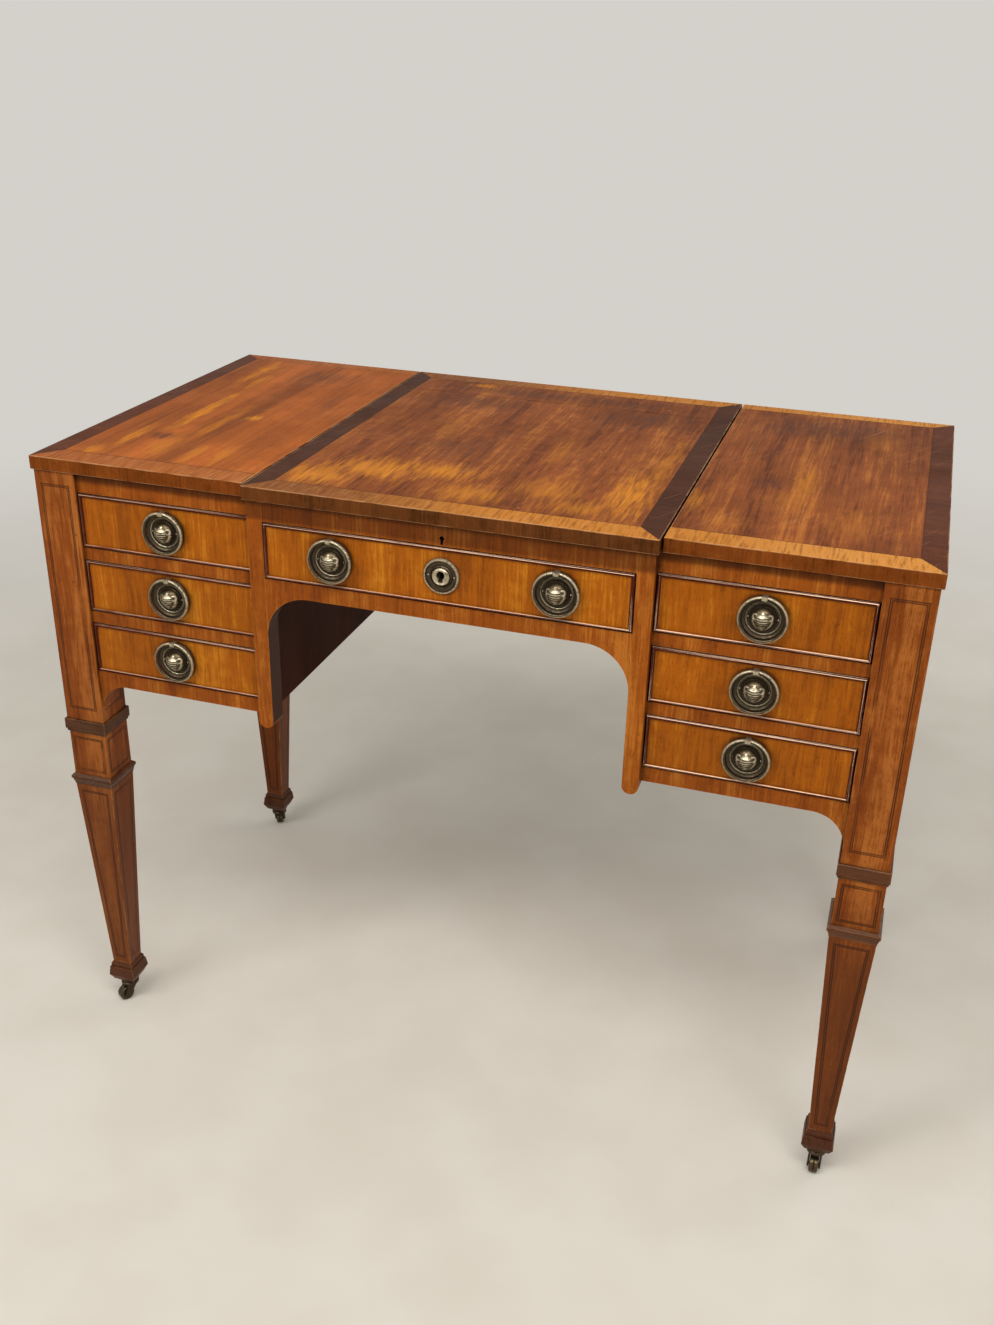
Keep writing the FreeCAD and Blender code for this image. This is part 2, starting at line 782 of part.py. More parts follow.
def spade_foot(x, y):
    """The dark spade foot under the taper."""
    fillet_bottom = foot_top - foot_bevel_height - foot_fillet_height
    wide_z = castor_height + foot_wide_height
    levels = [(castor_height, foot_sole_square), (wide_z, foot_wide_square),
              (fillet_bottom, foot_shoulder_square)]
    block = square_loft(levels, x, y)
    upper = square_loft([(fillet_bottom, foot_fillet_square),
                         (foot_top - foot_bevel_height, foot_fillet_square),
                         (foot_top, taper_foot_square)], x, y)
    return block.fuse(upper).removeSplitter()


def castor_plate(x, y):
    """The plate, boss and riveted stem under a foot."""
    boss_low = plate_thickness + boss_height
    head_top = boss_low + castor_gap + fork_plate_thickness + castor_gap
    outline = [(0, 0), (plate_radius, 0), (plate_radius, plate_thickness),
               (boss_radius, plate_thickness), (boss_radius, boss_low), (stem_radius, boss_low),
               (stem_radius, head_top), (stem_head_radius, head_top),
               (stem_head_radius, head_top + stem_head_height), (0, head_top + stem_head_height)]
    return turned(outline, Vector(x, y, castor_height), Vector(0, 0, -1))


def castor_fork():
    """The swivelling fork, trailing to +Y, and the axle riveted through its cheeks."""
    top = castor_height - plate_thickness - boss_height - castor_gap
    low = top - fork_plate_thickness
    outline = [(0, 0), (fork_plate_radius, 0), (fork_plate_radius, fork_plate_edge),
               (fork_plate_top_radius, fork_plate_thickness), (0, fork_plate_thickness)]
    body = turned(outline, Vector(0, 0, low), Z_AXIS)
    for side in (-1, 1):
        inner = side * fork_half_gap
        outer = side * (fork_half_gap + fork_cheek_thickness)
        start = min(inner, outer)
        front = Vector(start, -fork_cheek_length / 2, low)
        back = Vector(start, fork_cheek_length / 2, low)
        eye_back = Vector(start, castor_trail + fork_eye_radius, axle_z)
        eye_low = Vector(start, castor_trail, axle_z - fork_eye_radius)
        eye_front = Vector(start, castor_trail - fork_eye_radius, axle_z)
        diagonal = fork_eye_radius * math.sqrt(0.5)
        back_bulge = Vector(start, castor_trail + diagonal, axle_z - diagonal)
        front_bulge = Vector(start, castor_trail - diagonal, axle_z - diagonal)
        top_front = Vector(start, front.y, low + fork_plate_edge)
        top_back = Vector(start, back.y, low + fork_plate_edge)
        edges = [Part.LineSegment(top_front, top_back).toShape(),
                 Part.LineSegment(top_back, back).toShape(),
                 Part.LineSegment(back, eye_back).toShape(),
                 Part.Arc(eye_back, back_bulge, eye_low).toShape(),
                 Part.Arc(eye_low, front_bulge, eye_front).toShape(),
                 Part.LineSegment(eye_front, front).toShape(),
                 Part.LineSegment(front, top_front).toShape()]
        cheek = Part.Face(Part.Wire(edges)).extrude(Vector(fork_cheek_thickness, 0, 0))
        body = body.fuse(cheek)
    length = 2 * (fork_half_gap + fork_cheek_thickness)
    axle_end = Vector(-length / 2, castor_trail, axle_z)
    body = body.removeSplitter()
    body = body.cut(cylinder(stem_radius + running_clearance, castor_height, ORIGIN, Z_AXIS))
    body = body.cut(cylinder(axle_radius + seat_clearance, length, axle_end, X_AXIS))
    return [body, cylinder(axle_radius, length, axle_end, X_AXIS)]


def castor_wheel():
    """A brass wheel with rounded edges and a shallow groove, bored for its axle."""
    half = wheel_width / 2
    bore = axle_radius + running_clearance
    edge = wheel_edge_round
    slope = edge * (1 - math.sqrt(0.5))
    outline = [(bore, 0), (wheel_radius - edge, 0),
               (wheel_radius, edge, wheel_radius - slope, slope),
               (wheel_radius, half - wheel_groove),
               (wheel_radius - wheel_groove, half),
               (wheel_radius, half + wheel_groove),
               (wheel_radius, wheel_width - edge),
               (wheel_radius - edge, wheel_width, wheel_radius - slope, wheel_width - slope),
               (bore, wheel_width)]
    return turned(outline, Vector(-half, castor_trail, axle_z), X_AXIS)


def under_leg(solid, turn, x, y):
    """A castor piece turned about the stem and moved under its leg."""
    copy = solid.copy()
    copy.rotate(ORIGIN, Z_AXIS, turn)
    copy.translate(Vector(x, y, 0))
    return copy


def bead_strip(length, along_x):
    """A bead with a half-round nose, from the face plane, along X or up Z."""
    nose = bead_width / 2
    flat = -(bead_proud - nose)
    points = [Vector(0, bead_let_in, 0), Vector(0, flat, 0),
              Vector(bead_width, flat, 0), Vector(bead_width, bead_let_in, 0)]
    bulge = Vector(nose, -bead_proud, 0)
    edges = [Part.LineSegment(points[0], points[1]).toShape(),
             Part.Arc(points[1], bulge, points[2]).toShape(),
             Part.LineSegment(points[2], points[3]).toShape(),
             Part.LineSegment(points[3], points[0]).toShape()]
    strip = Part.Face(Part.Wire(edges)).extrude(Vector(0, 0, length))
    if along_x:
        strip.rotate(ORIGIN, Y_AXIS, 90)
        strip.translate(Vector(0, 0, bead_width))
    return strip


def drawer_beads(left, right, low, high, face):
    """Four beads round a drawer front, mitred at its corners."""
    def corners_at(inset):
        return [(left + inset, low + inset), (right - inset, low + inset),
                (right - inset, high - inset), (left + inset, high - inset)]

    outer = corners_at(-bead_width)
    inner = corners_at(2 * bead_width)
    starts = [(left, low), (right - bead_width, low), (left, high - bead_width), (left, low)]
    beads = []
    for index, (x, z) in enumerate(starts):
        flat_run = index % 2 == 0
        strip = bead_strip(right - left if flat_run else high - low, flat_run)
        strip.translate(Vector(x, face, z))
        after = (index + 1) % len(outer)
        corners = [outer[index], outer[after], inner[after], inner[index]]
        wedge = prism([Vector(across, face - bead_let_in, up) for across, up in corners],
                      Y_AXIS, 3 * bead_let_in)
        beads.append(strip.common(wedge))
    return beads


def drawer_tails(x0, z0, z1, y_back):
    """The dovetails on the front end of one drawer side."""
    middle = (z0 + z1) / 2
    tails = []
    for place in (-1, 1):
        z = middle + place * tail_pitch / 2
        root = tail_root_height / 2
        tip = root + tail_spread
        points = [Vector(x0, y_back, z - root), Vector(x0, y_back - tail_length, z - tip),
                  Vector(x0, y_back - tail_length, z + tip), Vector(x0, y_back, z + root)]
        tails.append(prism(points, X_AXIS, drawer_side_thickness))
    return tails


def drawer(x0, x1, z0, z1, face, length, cuts):
    """One drawer in its opening: front, four beads, two sides, back and bottom."""
    left = x0 + drawer_gap
    right = x1 - drawer_gap
    low = z0 + drawer_gap
    high = z1 - drawer_gap
    back_of_front = face + front_thickness
    field = box(left + bead_width, right - bead_width, face, face + bead_let_in,
                low + bead_width, high - bead_width)
    core = box(left, right, face + bead_let_in, back_of_front, low, high)
    front = field.fuse(core).removeSplitter()
    beads = drawer_beads(left, right, low, high, face)
    side_low = z0 + runner_gap
    side_high = high - drawer_side_fall
    end = face + length
    bottom_low = side_low + drawer_bottom_rise
    bottom_high = bottom_low + drawer_bottom_thickness
    inner_left = left + drawer_side_thickness
    inner_right = right - drawer_side_thickness
    bottom = box(inner_left - drawer_groove, inner_right + drawer_groove,
                 back_of_front - drawer_groove, end, bottom_low, bottom_high)
    sides = []
    for x in (left, inner_right):
        tails = drawer_tails(x, side_low, side_high, back_of_front)
        side = box(x, x + drawer_side_thickness, back_of_front, end, side_low, side_high)
        for tail in tails:
            side = side.fuse(tail)
            front = front.cut(tail)
        sides.append(side.removeSplitter().cut(bottom))
    back = box(inner_left, inner_right, end - drawer_side_thickness, end,
               bottom_high, side_high - drawer_back_fall)
    front = cut_all(front.cut(bottom), cuts)
    return [front] + beads + sides + [back, bottom]


def pull_post(x, z, face, extra):
    """The threaded post of a pull through a drawer front, or its hole when grown."""
    level = z + ring_centre_radius - post_drop
    length = front_thickness + nut_thickness + nut_stand
    return cylinder(post_radius + extra, length, Vector(x, face, level), Y_AXIS)


def pull_plate(x, z, face):
    """A pull's dished plate and knuckle on its post, and the nut inside the drawer."""
    rim = pull_radius - pull_rim_width
    ball = (dome_radius ** 2 + dome_rise ** 2) / (2 * dome_rise)
    lean = math.asin(dome_radius / ball) / 2
    outline = [(0, 0), (pull_radius, 0), (pull_radius, pull_edge_depth),
               (pull_radius - pull_rim_width / 2, pull_rim_depth),
               (rim, pull_edge_depth), (rim - pull_rim_width / 2, pull_dish_depth),
               (pull_dish_inner, pull_dish_depth), (pull_collar_radius, pull_collar_depth),
               (dome_radius, pull_collar_depth),
               (0, boss_reach, ball * math.sin(lean), boss_reach - ball * (1 - math.cos(lean)))]
    plate = turned(outline, Vector(x, face, z), Vector(0, -1, 0))
    axis_z = z + ring_centre_radius
    knuckle = box(x - knuckle_width / 2, x + knuckle_width / 2, face - knuckle_reach, face,
                  axis_z - knuckle_height / 2, axis_z + knuckle_height / 2)
    knuckle = rounded(knuckle, leg_arris, lambda edge: along(edge, X_AXIS)
                      and edge.CenterOfMass.y < face - journal_radius)
    bore = cylinder(journal_radius + running_clearance, knuckle_width,
                    Vector(x - knuckle_width / 2, face - ring_axis_reach, axis_z), X_AXIS)
    body = plate.fuse(knuckle).fuse(pull_post(x, z, face, 0)).removeSplitter().cut(bore)
    level = axis_z - post_drop
    half = nut_square / 2
    nut_y = face + front_thickness
    nut = box(x - half, x + half, nut_y, nut_y + nut_thickness, level - half, level + half)
    return [body, nut.cut(pull_post(x, z, face, seat_clearance))]


def pull_ring(x, z, face):
    """A ring with a straight journal at its top that runs in the knuckle."""
    centre = Vector(x, face - ring_axis_reach, z)
    ring = Part.makeTorus(ring_centre_radius, ring_wire_radius, centre, Y_AXIS)
    axis_z = z + ring_centre_radius
    gap = box(x - journal_reach, x + journal_reach, centre.y - knuckle_height, centre.y + knuckle_height,
              axis_z - knuckle_height, axis_z + knuckle_height)
    journal = cylinder(journal_radius, 2 * (journal_reach + journal_radius),
                       Vector(x - journal_reach - journal_radius, centre.y, axis_z), X_AXIS)
    return ring.cut(gap).fuse(journal).removeSplitter()


def escutcheon(z, face):
    """The round plate over the centre drawer's keyhole."""
    rim = escutcheon_radius - escutcheon_rim
    outline = [(0, 0), (escutcheon_radius, 0), (escutcheon_radius, pull_edge_depth),
               (escutcheon_radius - escutcheon_rim / 2, escutcheon_depth),
               (rim, pull_edge_depth), (rim - escutcheon_rim / 2, escutcheon_dish),
               (escutcheon_boss_radius + escutcheon_dish, escutcheon_dish),
               (escutcheon_boss_radius, escutcheon_boss_depth), (0, escutcheon_boss_depth)]
    plate = turned(outline, Vector(0, face, z), Vector(0, -1, 0))
    return plate.cut(keyhole(0, z + keyhole_slot_drop / 2, face - boss_reach, face))


def lock_space(z_top, face):
    """The block that the drawer lock fills in the back of the drawer front."""
    back = face + front_thickness
    half = lock_width / 2
    return box(-half, half, back - lock_thickness, back, z_top - lock_height, z_top)


def bolt_space(z_top, face, extra, rise):
    """The lock's bolt, or its slot when grown by extra and raised through the top."""
    y0 = face + front_thickness - lock_thickness + bolt_top_cover
    return box(bolt_offset - extra, bolt_offset + bolt_width + extra, y0 - extra,
               y0 + bolt_depth + extra, z_top - bolt_top_cover - bolt_height - extra,
               z_top - bolt_top_cover + rise)


def drawer_lock(z_top, z_key, face):
    """The drawer lock's case, with its keyhole and the bolt's slot."""
    case = lock_space(z_top, face).cut(bolt_space(z_top, face, bolt_gap, bolt_top_cover))
    front = face + front_thickness - lock_thickness
    return case.cut(keyhole(0, z_key + keyhole_slot_drop / 2, front, front + lock_thickness / 2))


def save_legs(boards):
    """The four legs, their mouldings, feet and castors."""
    places = {"front_left": (-leg_x, leg_front_y), "front_right": (leg_x, leg_front_y),
              "back_left": (-leg_x, leg_back_y), "back_right": (leg_x, leg_back_y)}
    mouldings = []
    feet = []
    plates = []
    for name, (x, y) in places.items():
        save("leg_" + name, cut_all(leg(x, y), boards))
        mouldings += leg_collar(x, y) + leg_moulding(x, y)
        feet.append(spade_foot(x, y))
        plates.append(castor_plate(x, y))
        turn = castor_turns[name]
        save("castor_fork_" + name, [under_leg(piece, turn, x, y) for piece in castor_fork()])
        save("castor_wheel_" + name, under_leg(castor_wheel(), turn, x, y))
    save("leg_mouldings", mouldings)
    save("spade_feet", feet)
    save("castor_plates", plates)


def save_carcass():
    """Boards and rails between the legs; returns those that are let into the legs."""
    rails = pedestal_rails()
    side_panel = outer_side_panel()
    back = pedestal_back()
    frieze = centre_frieze()
    apron = kneehole_apron()
    floor = well_floor()
    stile = centre_stile(rails + [frieze, apron])
    inner = inner_side_panel().cut(floor)
    runners = pedestal_runners() + [centre_runner(), pedestal_bottom()]
    front = rails + [corner_bracket()]
    save("pedestal_rails", front + [mirrored(piece) for piece in front])
    save("outer_side_panels", [side_panel, mirrored(side_panel)])
    save("kneehole_side_panels", [inner, mirrored(inner)])
    save("back_panels", [back, mirrored(back), centre_back()])
    save("drawer_runners", runners + [mirrored(piece) for piece in runners])
    save("centre_stiles", [stile, mirrored(stile)])
    save("centre_frieze_rail", frieze)
    save("kneehole_apron", apron)
    save("well_floor", floor)
    save("lid_lock", lid_lock())
    joined = rails + [side_panel, back]
    return joined + [mirrored(piece) for piece in joined]


def save_tops():
    """Side tops, lid with its mirror, rear strip, pivots and strike plate."""
    frame_rails, glass = mirror_parts()
    save("top_right", side_top())
    save("top_left", mirrored(side_top()))
    save("lid", lid())
    save("top_rear_strip", rear_strip())
    save("lid_pivots", [pivot(0), mirrored(pivot(0))])
    save("lid_stays", [lid_stay(), mirrored(lid_stay())])
    save("stay_guides", [stay_guide(), mirrored(stay_guide())])
    save("lid_strike", lid_strike())
    save("mirror_frame", frame_rails)
    save("mirror_glass", glass)


def save_drawers():
    """Seven drawers with their pulls, and the centre drawer's lock and escutcheon."""
    openings = {"upper": (upper_bottom, frieze_bottom), "middle": (middle_bottom, middle_top),
                "lower": (lower_bottom, lower_top)}
    for level, (low, high) in openings.items():
        z = (low + high) / 2
        holes = [pull_post(pedestal_x, z, face_y, seat_clearance)]
        pieces = drawer(stile_outer_x, post_inner_x, low, high, face_y, drawer_length, holes)
        plate = pull_plate(pedestal_x, z, face_y)
        ring = pull_ring(pedestal_x, z, face_y)
        save("drawer_right_" + level, pieces)
        save("drawer_left_" + level, [mirrored(piece) for piece in pieces])
        save("pull_plate_right_" + level, plate)
        save("pull_plate_left_" + level, [mirrored(piece) for piece in plate])
        save("pull_ring_right_" + level, ring)
        save("pull_ring_left_" + level, mirrored(ring))
    z = (upper_bottom + frieze_bottom) / 2
    top_edge = frieze_bottom - drawer_gap
    pull_places = {"left": -centre_pull_spacing / 2, "right": centre_pull_spacing / 2}
    cuts = [pull_post(x, z, centre_face_y, seat_clearance) for x in pull_places.values()]
    cuts.append(lock_space(top_edge, centre_face_y))
    cuts.append(keyhole(0, z + keyhole_slot_drop / 2, centre_face_y, centre_face_y + front_thickness))
    save("drawer_centre", drawer(-stile_inner_x, stile_inner_x, upper_bottom, frieze_bottom,
                                 centre_face_y, centre_drawer_length, cuts))
    plates = []
    for side, x in pull_places.items():
        plates += pull_plate(x, z, centre_face_y)
        save("pull_ring_centre_" + side, pull_ring(x, z, centre_face_y))
    save("pull_plates_centre", plates)
    save("escutcheon", escutcheon(z, centre_face_y))
    save("drawer_lock", drawer_lock(top_edge, z, centre_face_y))
    save("drawer_lock_bolt", bolt_space(top_edge, centre_face_y, 0, 0))


os.makedirs("parts", exist_ok=True)
save_legs(save_carcass())
save_tops()
save_drawers()
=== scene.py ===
"""The looks of a kneehole dressing table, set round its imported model."""

import json
import math

import bmesh
import bpy
from mathutils import Matrix, Vector

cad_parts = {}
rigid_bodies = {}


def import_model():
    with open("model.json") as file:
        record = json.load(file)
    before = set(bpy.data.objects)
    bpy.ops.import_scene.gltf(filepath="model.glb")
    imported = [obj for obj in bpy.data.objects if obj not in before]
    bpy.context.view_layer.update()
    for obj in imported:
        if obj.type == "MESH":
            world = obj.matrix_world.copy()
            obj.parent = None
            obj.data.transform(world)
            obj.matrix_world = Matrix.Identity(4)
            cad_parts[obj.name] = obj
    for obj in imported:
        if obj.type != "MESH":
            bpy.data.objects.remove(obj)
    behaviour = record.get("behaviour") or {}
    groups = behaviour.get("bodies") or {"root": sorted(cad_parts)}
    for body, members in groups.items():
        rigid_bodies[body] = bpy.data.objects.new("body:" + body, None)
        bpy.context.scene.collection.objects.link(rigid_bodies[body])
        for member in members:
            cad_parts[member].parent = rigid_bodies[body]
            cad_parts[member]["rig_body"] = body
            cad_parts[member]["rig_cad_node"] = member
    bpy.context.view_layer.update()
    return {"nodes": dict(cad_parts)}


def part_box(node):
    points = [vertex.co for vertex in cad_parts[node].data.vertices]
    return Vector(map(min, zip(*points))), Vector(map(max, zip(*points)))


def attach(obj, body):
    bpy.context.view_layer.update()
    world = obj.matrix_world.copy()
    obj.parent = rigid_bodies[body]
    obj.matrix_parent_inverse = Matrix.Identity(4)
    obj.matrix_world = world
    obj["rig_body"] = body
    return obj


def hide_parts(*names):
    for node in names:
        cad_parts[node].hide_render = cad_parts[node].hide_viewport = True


bl_info = {
    "name": "Kneehole dressing table",
    "version": (1, 0, 0),
    "blender": (4, 5, 0),
    "location": "View3D > Sidebar > Table",
    "description": "Dresses the packed dressing table in mahogany and aged brass",
    "category": "Object",
}

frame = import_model()
NODES = frame["nodes"]

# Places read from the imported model, in metres
FACE_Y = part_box("pedestal_rails")[0].y
CENTRE_FACE_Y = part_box("centre_stiles")[0].y
LEG_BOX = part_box("leg_front_right")
REAR_LEG_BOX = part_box("leg_back_right")
TOP_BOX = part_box("top_right")
LID_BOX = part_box("lid")
STRIP_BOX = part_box("top_rear_strip")
SIDE_DRAWERS = ("left_upper", "left_middle", "left_lower",
                "right_upper", "right_middle", "right_lower")

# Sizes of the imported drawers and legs, in metres
DRAWER_FRONT_DEPTH = 0.018
BEAD_WIDTH = 0.004
BEAD_PROUD = 0.002
BEAD_LET_IN = 0.008
TAIL_PITCH = 0.025
TAIL_ROOT = 0.011
TAIL_DROP = 0.0027
TAIL_SLOPE = 0.26
COLLAR_HEIGHT = 0.019
MOULDING_HEIGHT = 0.015
TAPER_TOP_HALF = 0.0251
TAPER_LOW_HALF = 0.013
KNEE_HALF = 0.2065
URN_GROWTH = 1.24
RING_TEETH = 76
# Depth of the painted shadow under the side tops and under the lid, in metres
SIDE_SHADOW_DROP = 0.0075
LID_SHADOW_DROP = 0.0180
SLACK = 0.00001
FAR = 100.0
TO_FRONT = (math.pi / 2, 0, 0)

# The urn's outline as (radius, height), its flatness, and its leaves as (degrees, across, drop)
URN_STEPS = ((0.0024, -0.0086), (0.0024, -0.0079), (0.0011, -0.0071), (0.0026, -0.0058),
             (0.0037, -0.0041), (0.0022, -0.0037), (0.0025, -0.0031), (0.0046, -0.0028),
             (0.0051, -0.0018), (0.0033, -0.0015), (0.0034, -0.0010), (0.0055, -0.0008),
             (0.0058, 0.0003), (0.0038, 0.0006), (0.0038, 0.0010), (0.0060, 0.0013),
             (0.0059, 0.0023), (0.0038, 0.0026), (0.0037, 0.0030), (0.0055, 0.0033),
             (0.0046, 0.0046), (0.0026, 0.0056), (0.0011, 0.0063), (0.0015, 0.0070),
             (0.0004, 0.0080))
URN_FLATNESS = 0.42
URN_LEAVES = ((20, 0.0078, 0.0002), (42, 0.0074, -0.0026), (62, 0.0060, -0.0052),
              (84, 0.0042, -0.0074))

# The camera's angles in degrees, its place in metres, and its lens and frame height in pixels
CAMERA_TURN = -17.244
CAMERA_DROP = 25.986
CAMERA_ROLL = 1.374
CAMERA_X = 0.4387
CAMERA_AWAY = 1.2163
CAMERA_Z = 1.2365
LENS_PIXELS = 1331.7
FRAME_PIXELS = 1325

# Input and output numbers of the colour side of a Mix node
MIX_FACTOR = 0
MIX_FIRST = 6
MIX_SECOND = 7
MIX_RESULT = 2


def screen(red, green, blue):
    """A colour picked on a screen, from 0 to 255, as light values."""
    def light(value):
        share = value / 255
        return share / 12.92 if share <= 0.04045 else ((share + 0.055) / 1.055) ** 2.4
    return (light(red), light(green), light(blue))


def length(name, description, default):
    """A size of the table that a user may change."""
    return bpy.props.FloatProperty(name=name, description=description, default=default,
                                   min=0.0, unit="LENGTH", subtype="DISTANCE", precision=4)


def colour(name, description, red, green, blue):
    """A colour of the table that a user may change, given from 0 to 255."""
    return bpy.props.FloatVectorProperty(name=name, description=description, min=0.0, max=1.0,
                                         default=screen(red, green, blue), size=3, subtype="COLOR")


PALE_FLOOR = screen(222, 214, 200)
PALE_FLOOR_LIGHT = screen(228, 221, 208)
BACKDROP = screen(212, 209, 203)
SKY_LIGHT = screen(240, 240, 238)
WARM_SHEEN = (1.0, 0.80, 0.62)


class TableSizes(bpy.types.PropertyGroup):
    """Widths of bands and lines, and sizes of the fittings' details."""
    lid_side_band: length("Lid side band", "Dark crossband at each side of the lid", 0.0255)
    lid_front_band: length("Lid front band", "Light border at the front of the lid", 0.031)
    strip_band: length("Rear strip border", "Light border behind the lid", 0.027)
    side_outer_band: length("Outer band", "Dark crossband at the outer side of a side top", 0.025)
    side_front_band: length("Front border", "Light border at the front of a side top", 0.033)
    side_rear_band: length("Rear border", "Light border at the back of a side top", 0.022)
    seam_line: length("Seam line", "Width of the line between two veneers", 0.0008)
    string_width: length("Stringing", "Width of the inlaid strip on the legs", 0.0034)
    string_edge: length("Stringing edge", "Dark line at each side of the strip", 0.0012)
    post_inset: length("Post inset", "From a post's edge to its inlaid line", 0.0085)
    post_end: length("Post end", "From a post's ends to its inlaid line", 0.017)
    block_inset: length("Block inset", "From a block's edge to its inlaid line", 0.0065)
    block_end: length("Block end", "From a block's ends to its inlaid line", 0.0075)
    taper_inset: length("Taper inset", "From a taper's edge to its inlaid line", 0.0072)
    taper_end: length("Taper end", "From a taper's ends to its inlaid line", 0.010)
    plate_radius: length("Pull plate", "Radius of a pull's round plate", 0.0236)
    dome_radius: length("Pull dome", "Radius of the dome that carries the urn", 0.0124)
    ring_radius: length("Ring", "Radius to the middle of a ring's wire", 0.0234)
    ring_wire: length("Ring wire", "Radius of a ring's wire", 0.0022)
    escutcheon_radius: length("Escutcheon", "Radius of the keyhole plate", 0.020)


class TableColours(bpy.types.PropertyGroup):
    """Colours of the timbers and metals."""
    top_dark: colour("Top, dark", "Dark streaks of the tops", 100, 48, 20)
    top_middle: colour("Top, middle", "Main colour of the tops", 140, 74, 32)
    top_light: colour("Top, light", "Light streaks of the tops", 180, 106, 44)
    top_warm: colour("Left top", "Main colour of the left top", 168, 88, 30)
    top_worn: colour("Top, worn", "Places where the tops' polish is worn", 210, 132, 42)
    top_arris: colour("Top, arris", "Rubbed edges of the tops", 204, 156, 110)
    top_stain: colour("Top, stain", "Dark marks on the tops", 84, 50, 36)
    top_edge: colour("Top edge", "Front edges of the side tops", 115, 59, 20)
    lid_edge: colour("Lid edge", "Front edge of the lid", 96, 54, 24)
    band_dark: colour("Lid crossband", "Dark bands at the sides of the lid", 74, 42, 28)
    band_side: colour("Outer crossband", "Dark bands at the outer sides of the tops", 92, 50, 32)
    band_light: colour("Light border", "Golden borders of the tops", 190, 120, 46)
    drawer_dark: colour("Drawers, dark", "Dark streaks of the drawer fronts", 140, 72, 12)
    drawer_middle: colour("Drawers, middle", "Main colour of the drawer fronts", 168, 90, 14)
    drawer_light: colour("Drawers, light", "Light streaks of the drawer fronts", 198, 122, 28)
    rail_dark: colour("Rails, dark", "Dark streaks of the rails and stiles", 124, 60, 16)
    rail_middle: colour("Rails, middle", "Main colour of the rails and stiles", 150, 76, 18)
    rail_light: colour("Rails, light", "Light streaks of the rails and stiles", 180, 106, 36)
    leg_dark: colour("Legs, dark", "Dark streaks of the legs", 100, 46, 16)
    leg_middle: colour("Legs, middle", "Main colour of the posts", 134, 66, 18)
    leg_light: colour("Legs, light", "Light streaks of the legs", 170, 98, 40)
    # Painted shade that darkens the lower legs
    leg_low_shade: colour("Legs, lower part", "Painted shade on the tapers", 98, 50, 22)
    string: colour("Stringing", "Inlaid lines on the legs", 62, 30, 14)
    # Also carries the painted shade in corners and the painted shadow under the tops
    dirt_and_shade: colour("Dirt", "Old wax and grime, with painted shade in corners and under the tops", 44, 20, 10)
    rubbed: colour("Rubbed edge", "Edges where the polish is rubbed", 206, 138, 66)
    moulding: colour("Mouldings", "Collars and mouldings round the legs", 88, 50, 28)
    foot: colour("Feet", "Spade feet", 84, 48, 32)
    bead: colour("Beads", "Beads round the drawers", 78, 26, 12)
    # Painted highlight on the crests of the level beads
    bead_highlight: colour("Beads, highlight", "Painted highlight on the beads' crests", 255, 214, 180)
    # Painted shade for the kneehole's walls and the sides that face into it
    inner: colour("Kneehole walls", "Painted shade inside the kneehole", 56, 26, 14)
    lining: colour("Linings", "Drawer linings and hidden boards", 176, 138, 92)
    back: colour("Backs", "Stained boards at the back", 112, 72, 44)
    brass: colour("Toned brass", "Brass of the pull plates", 92, 78, 58)
    brass_rubbed: colour("Rubbed brass", "Brass where hands rub it bright", 200, 186, 156)
    tarnish: colour("Tarnish", "Dark tone in the brass's hollows", 36, 27, 20)
    bronze: colour("Bronze", "Dark brass of the castors", 76, 62, 48)


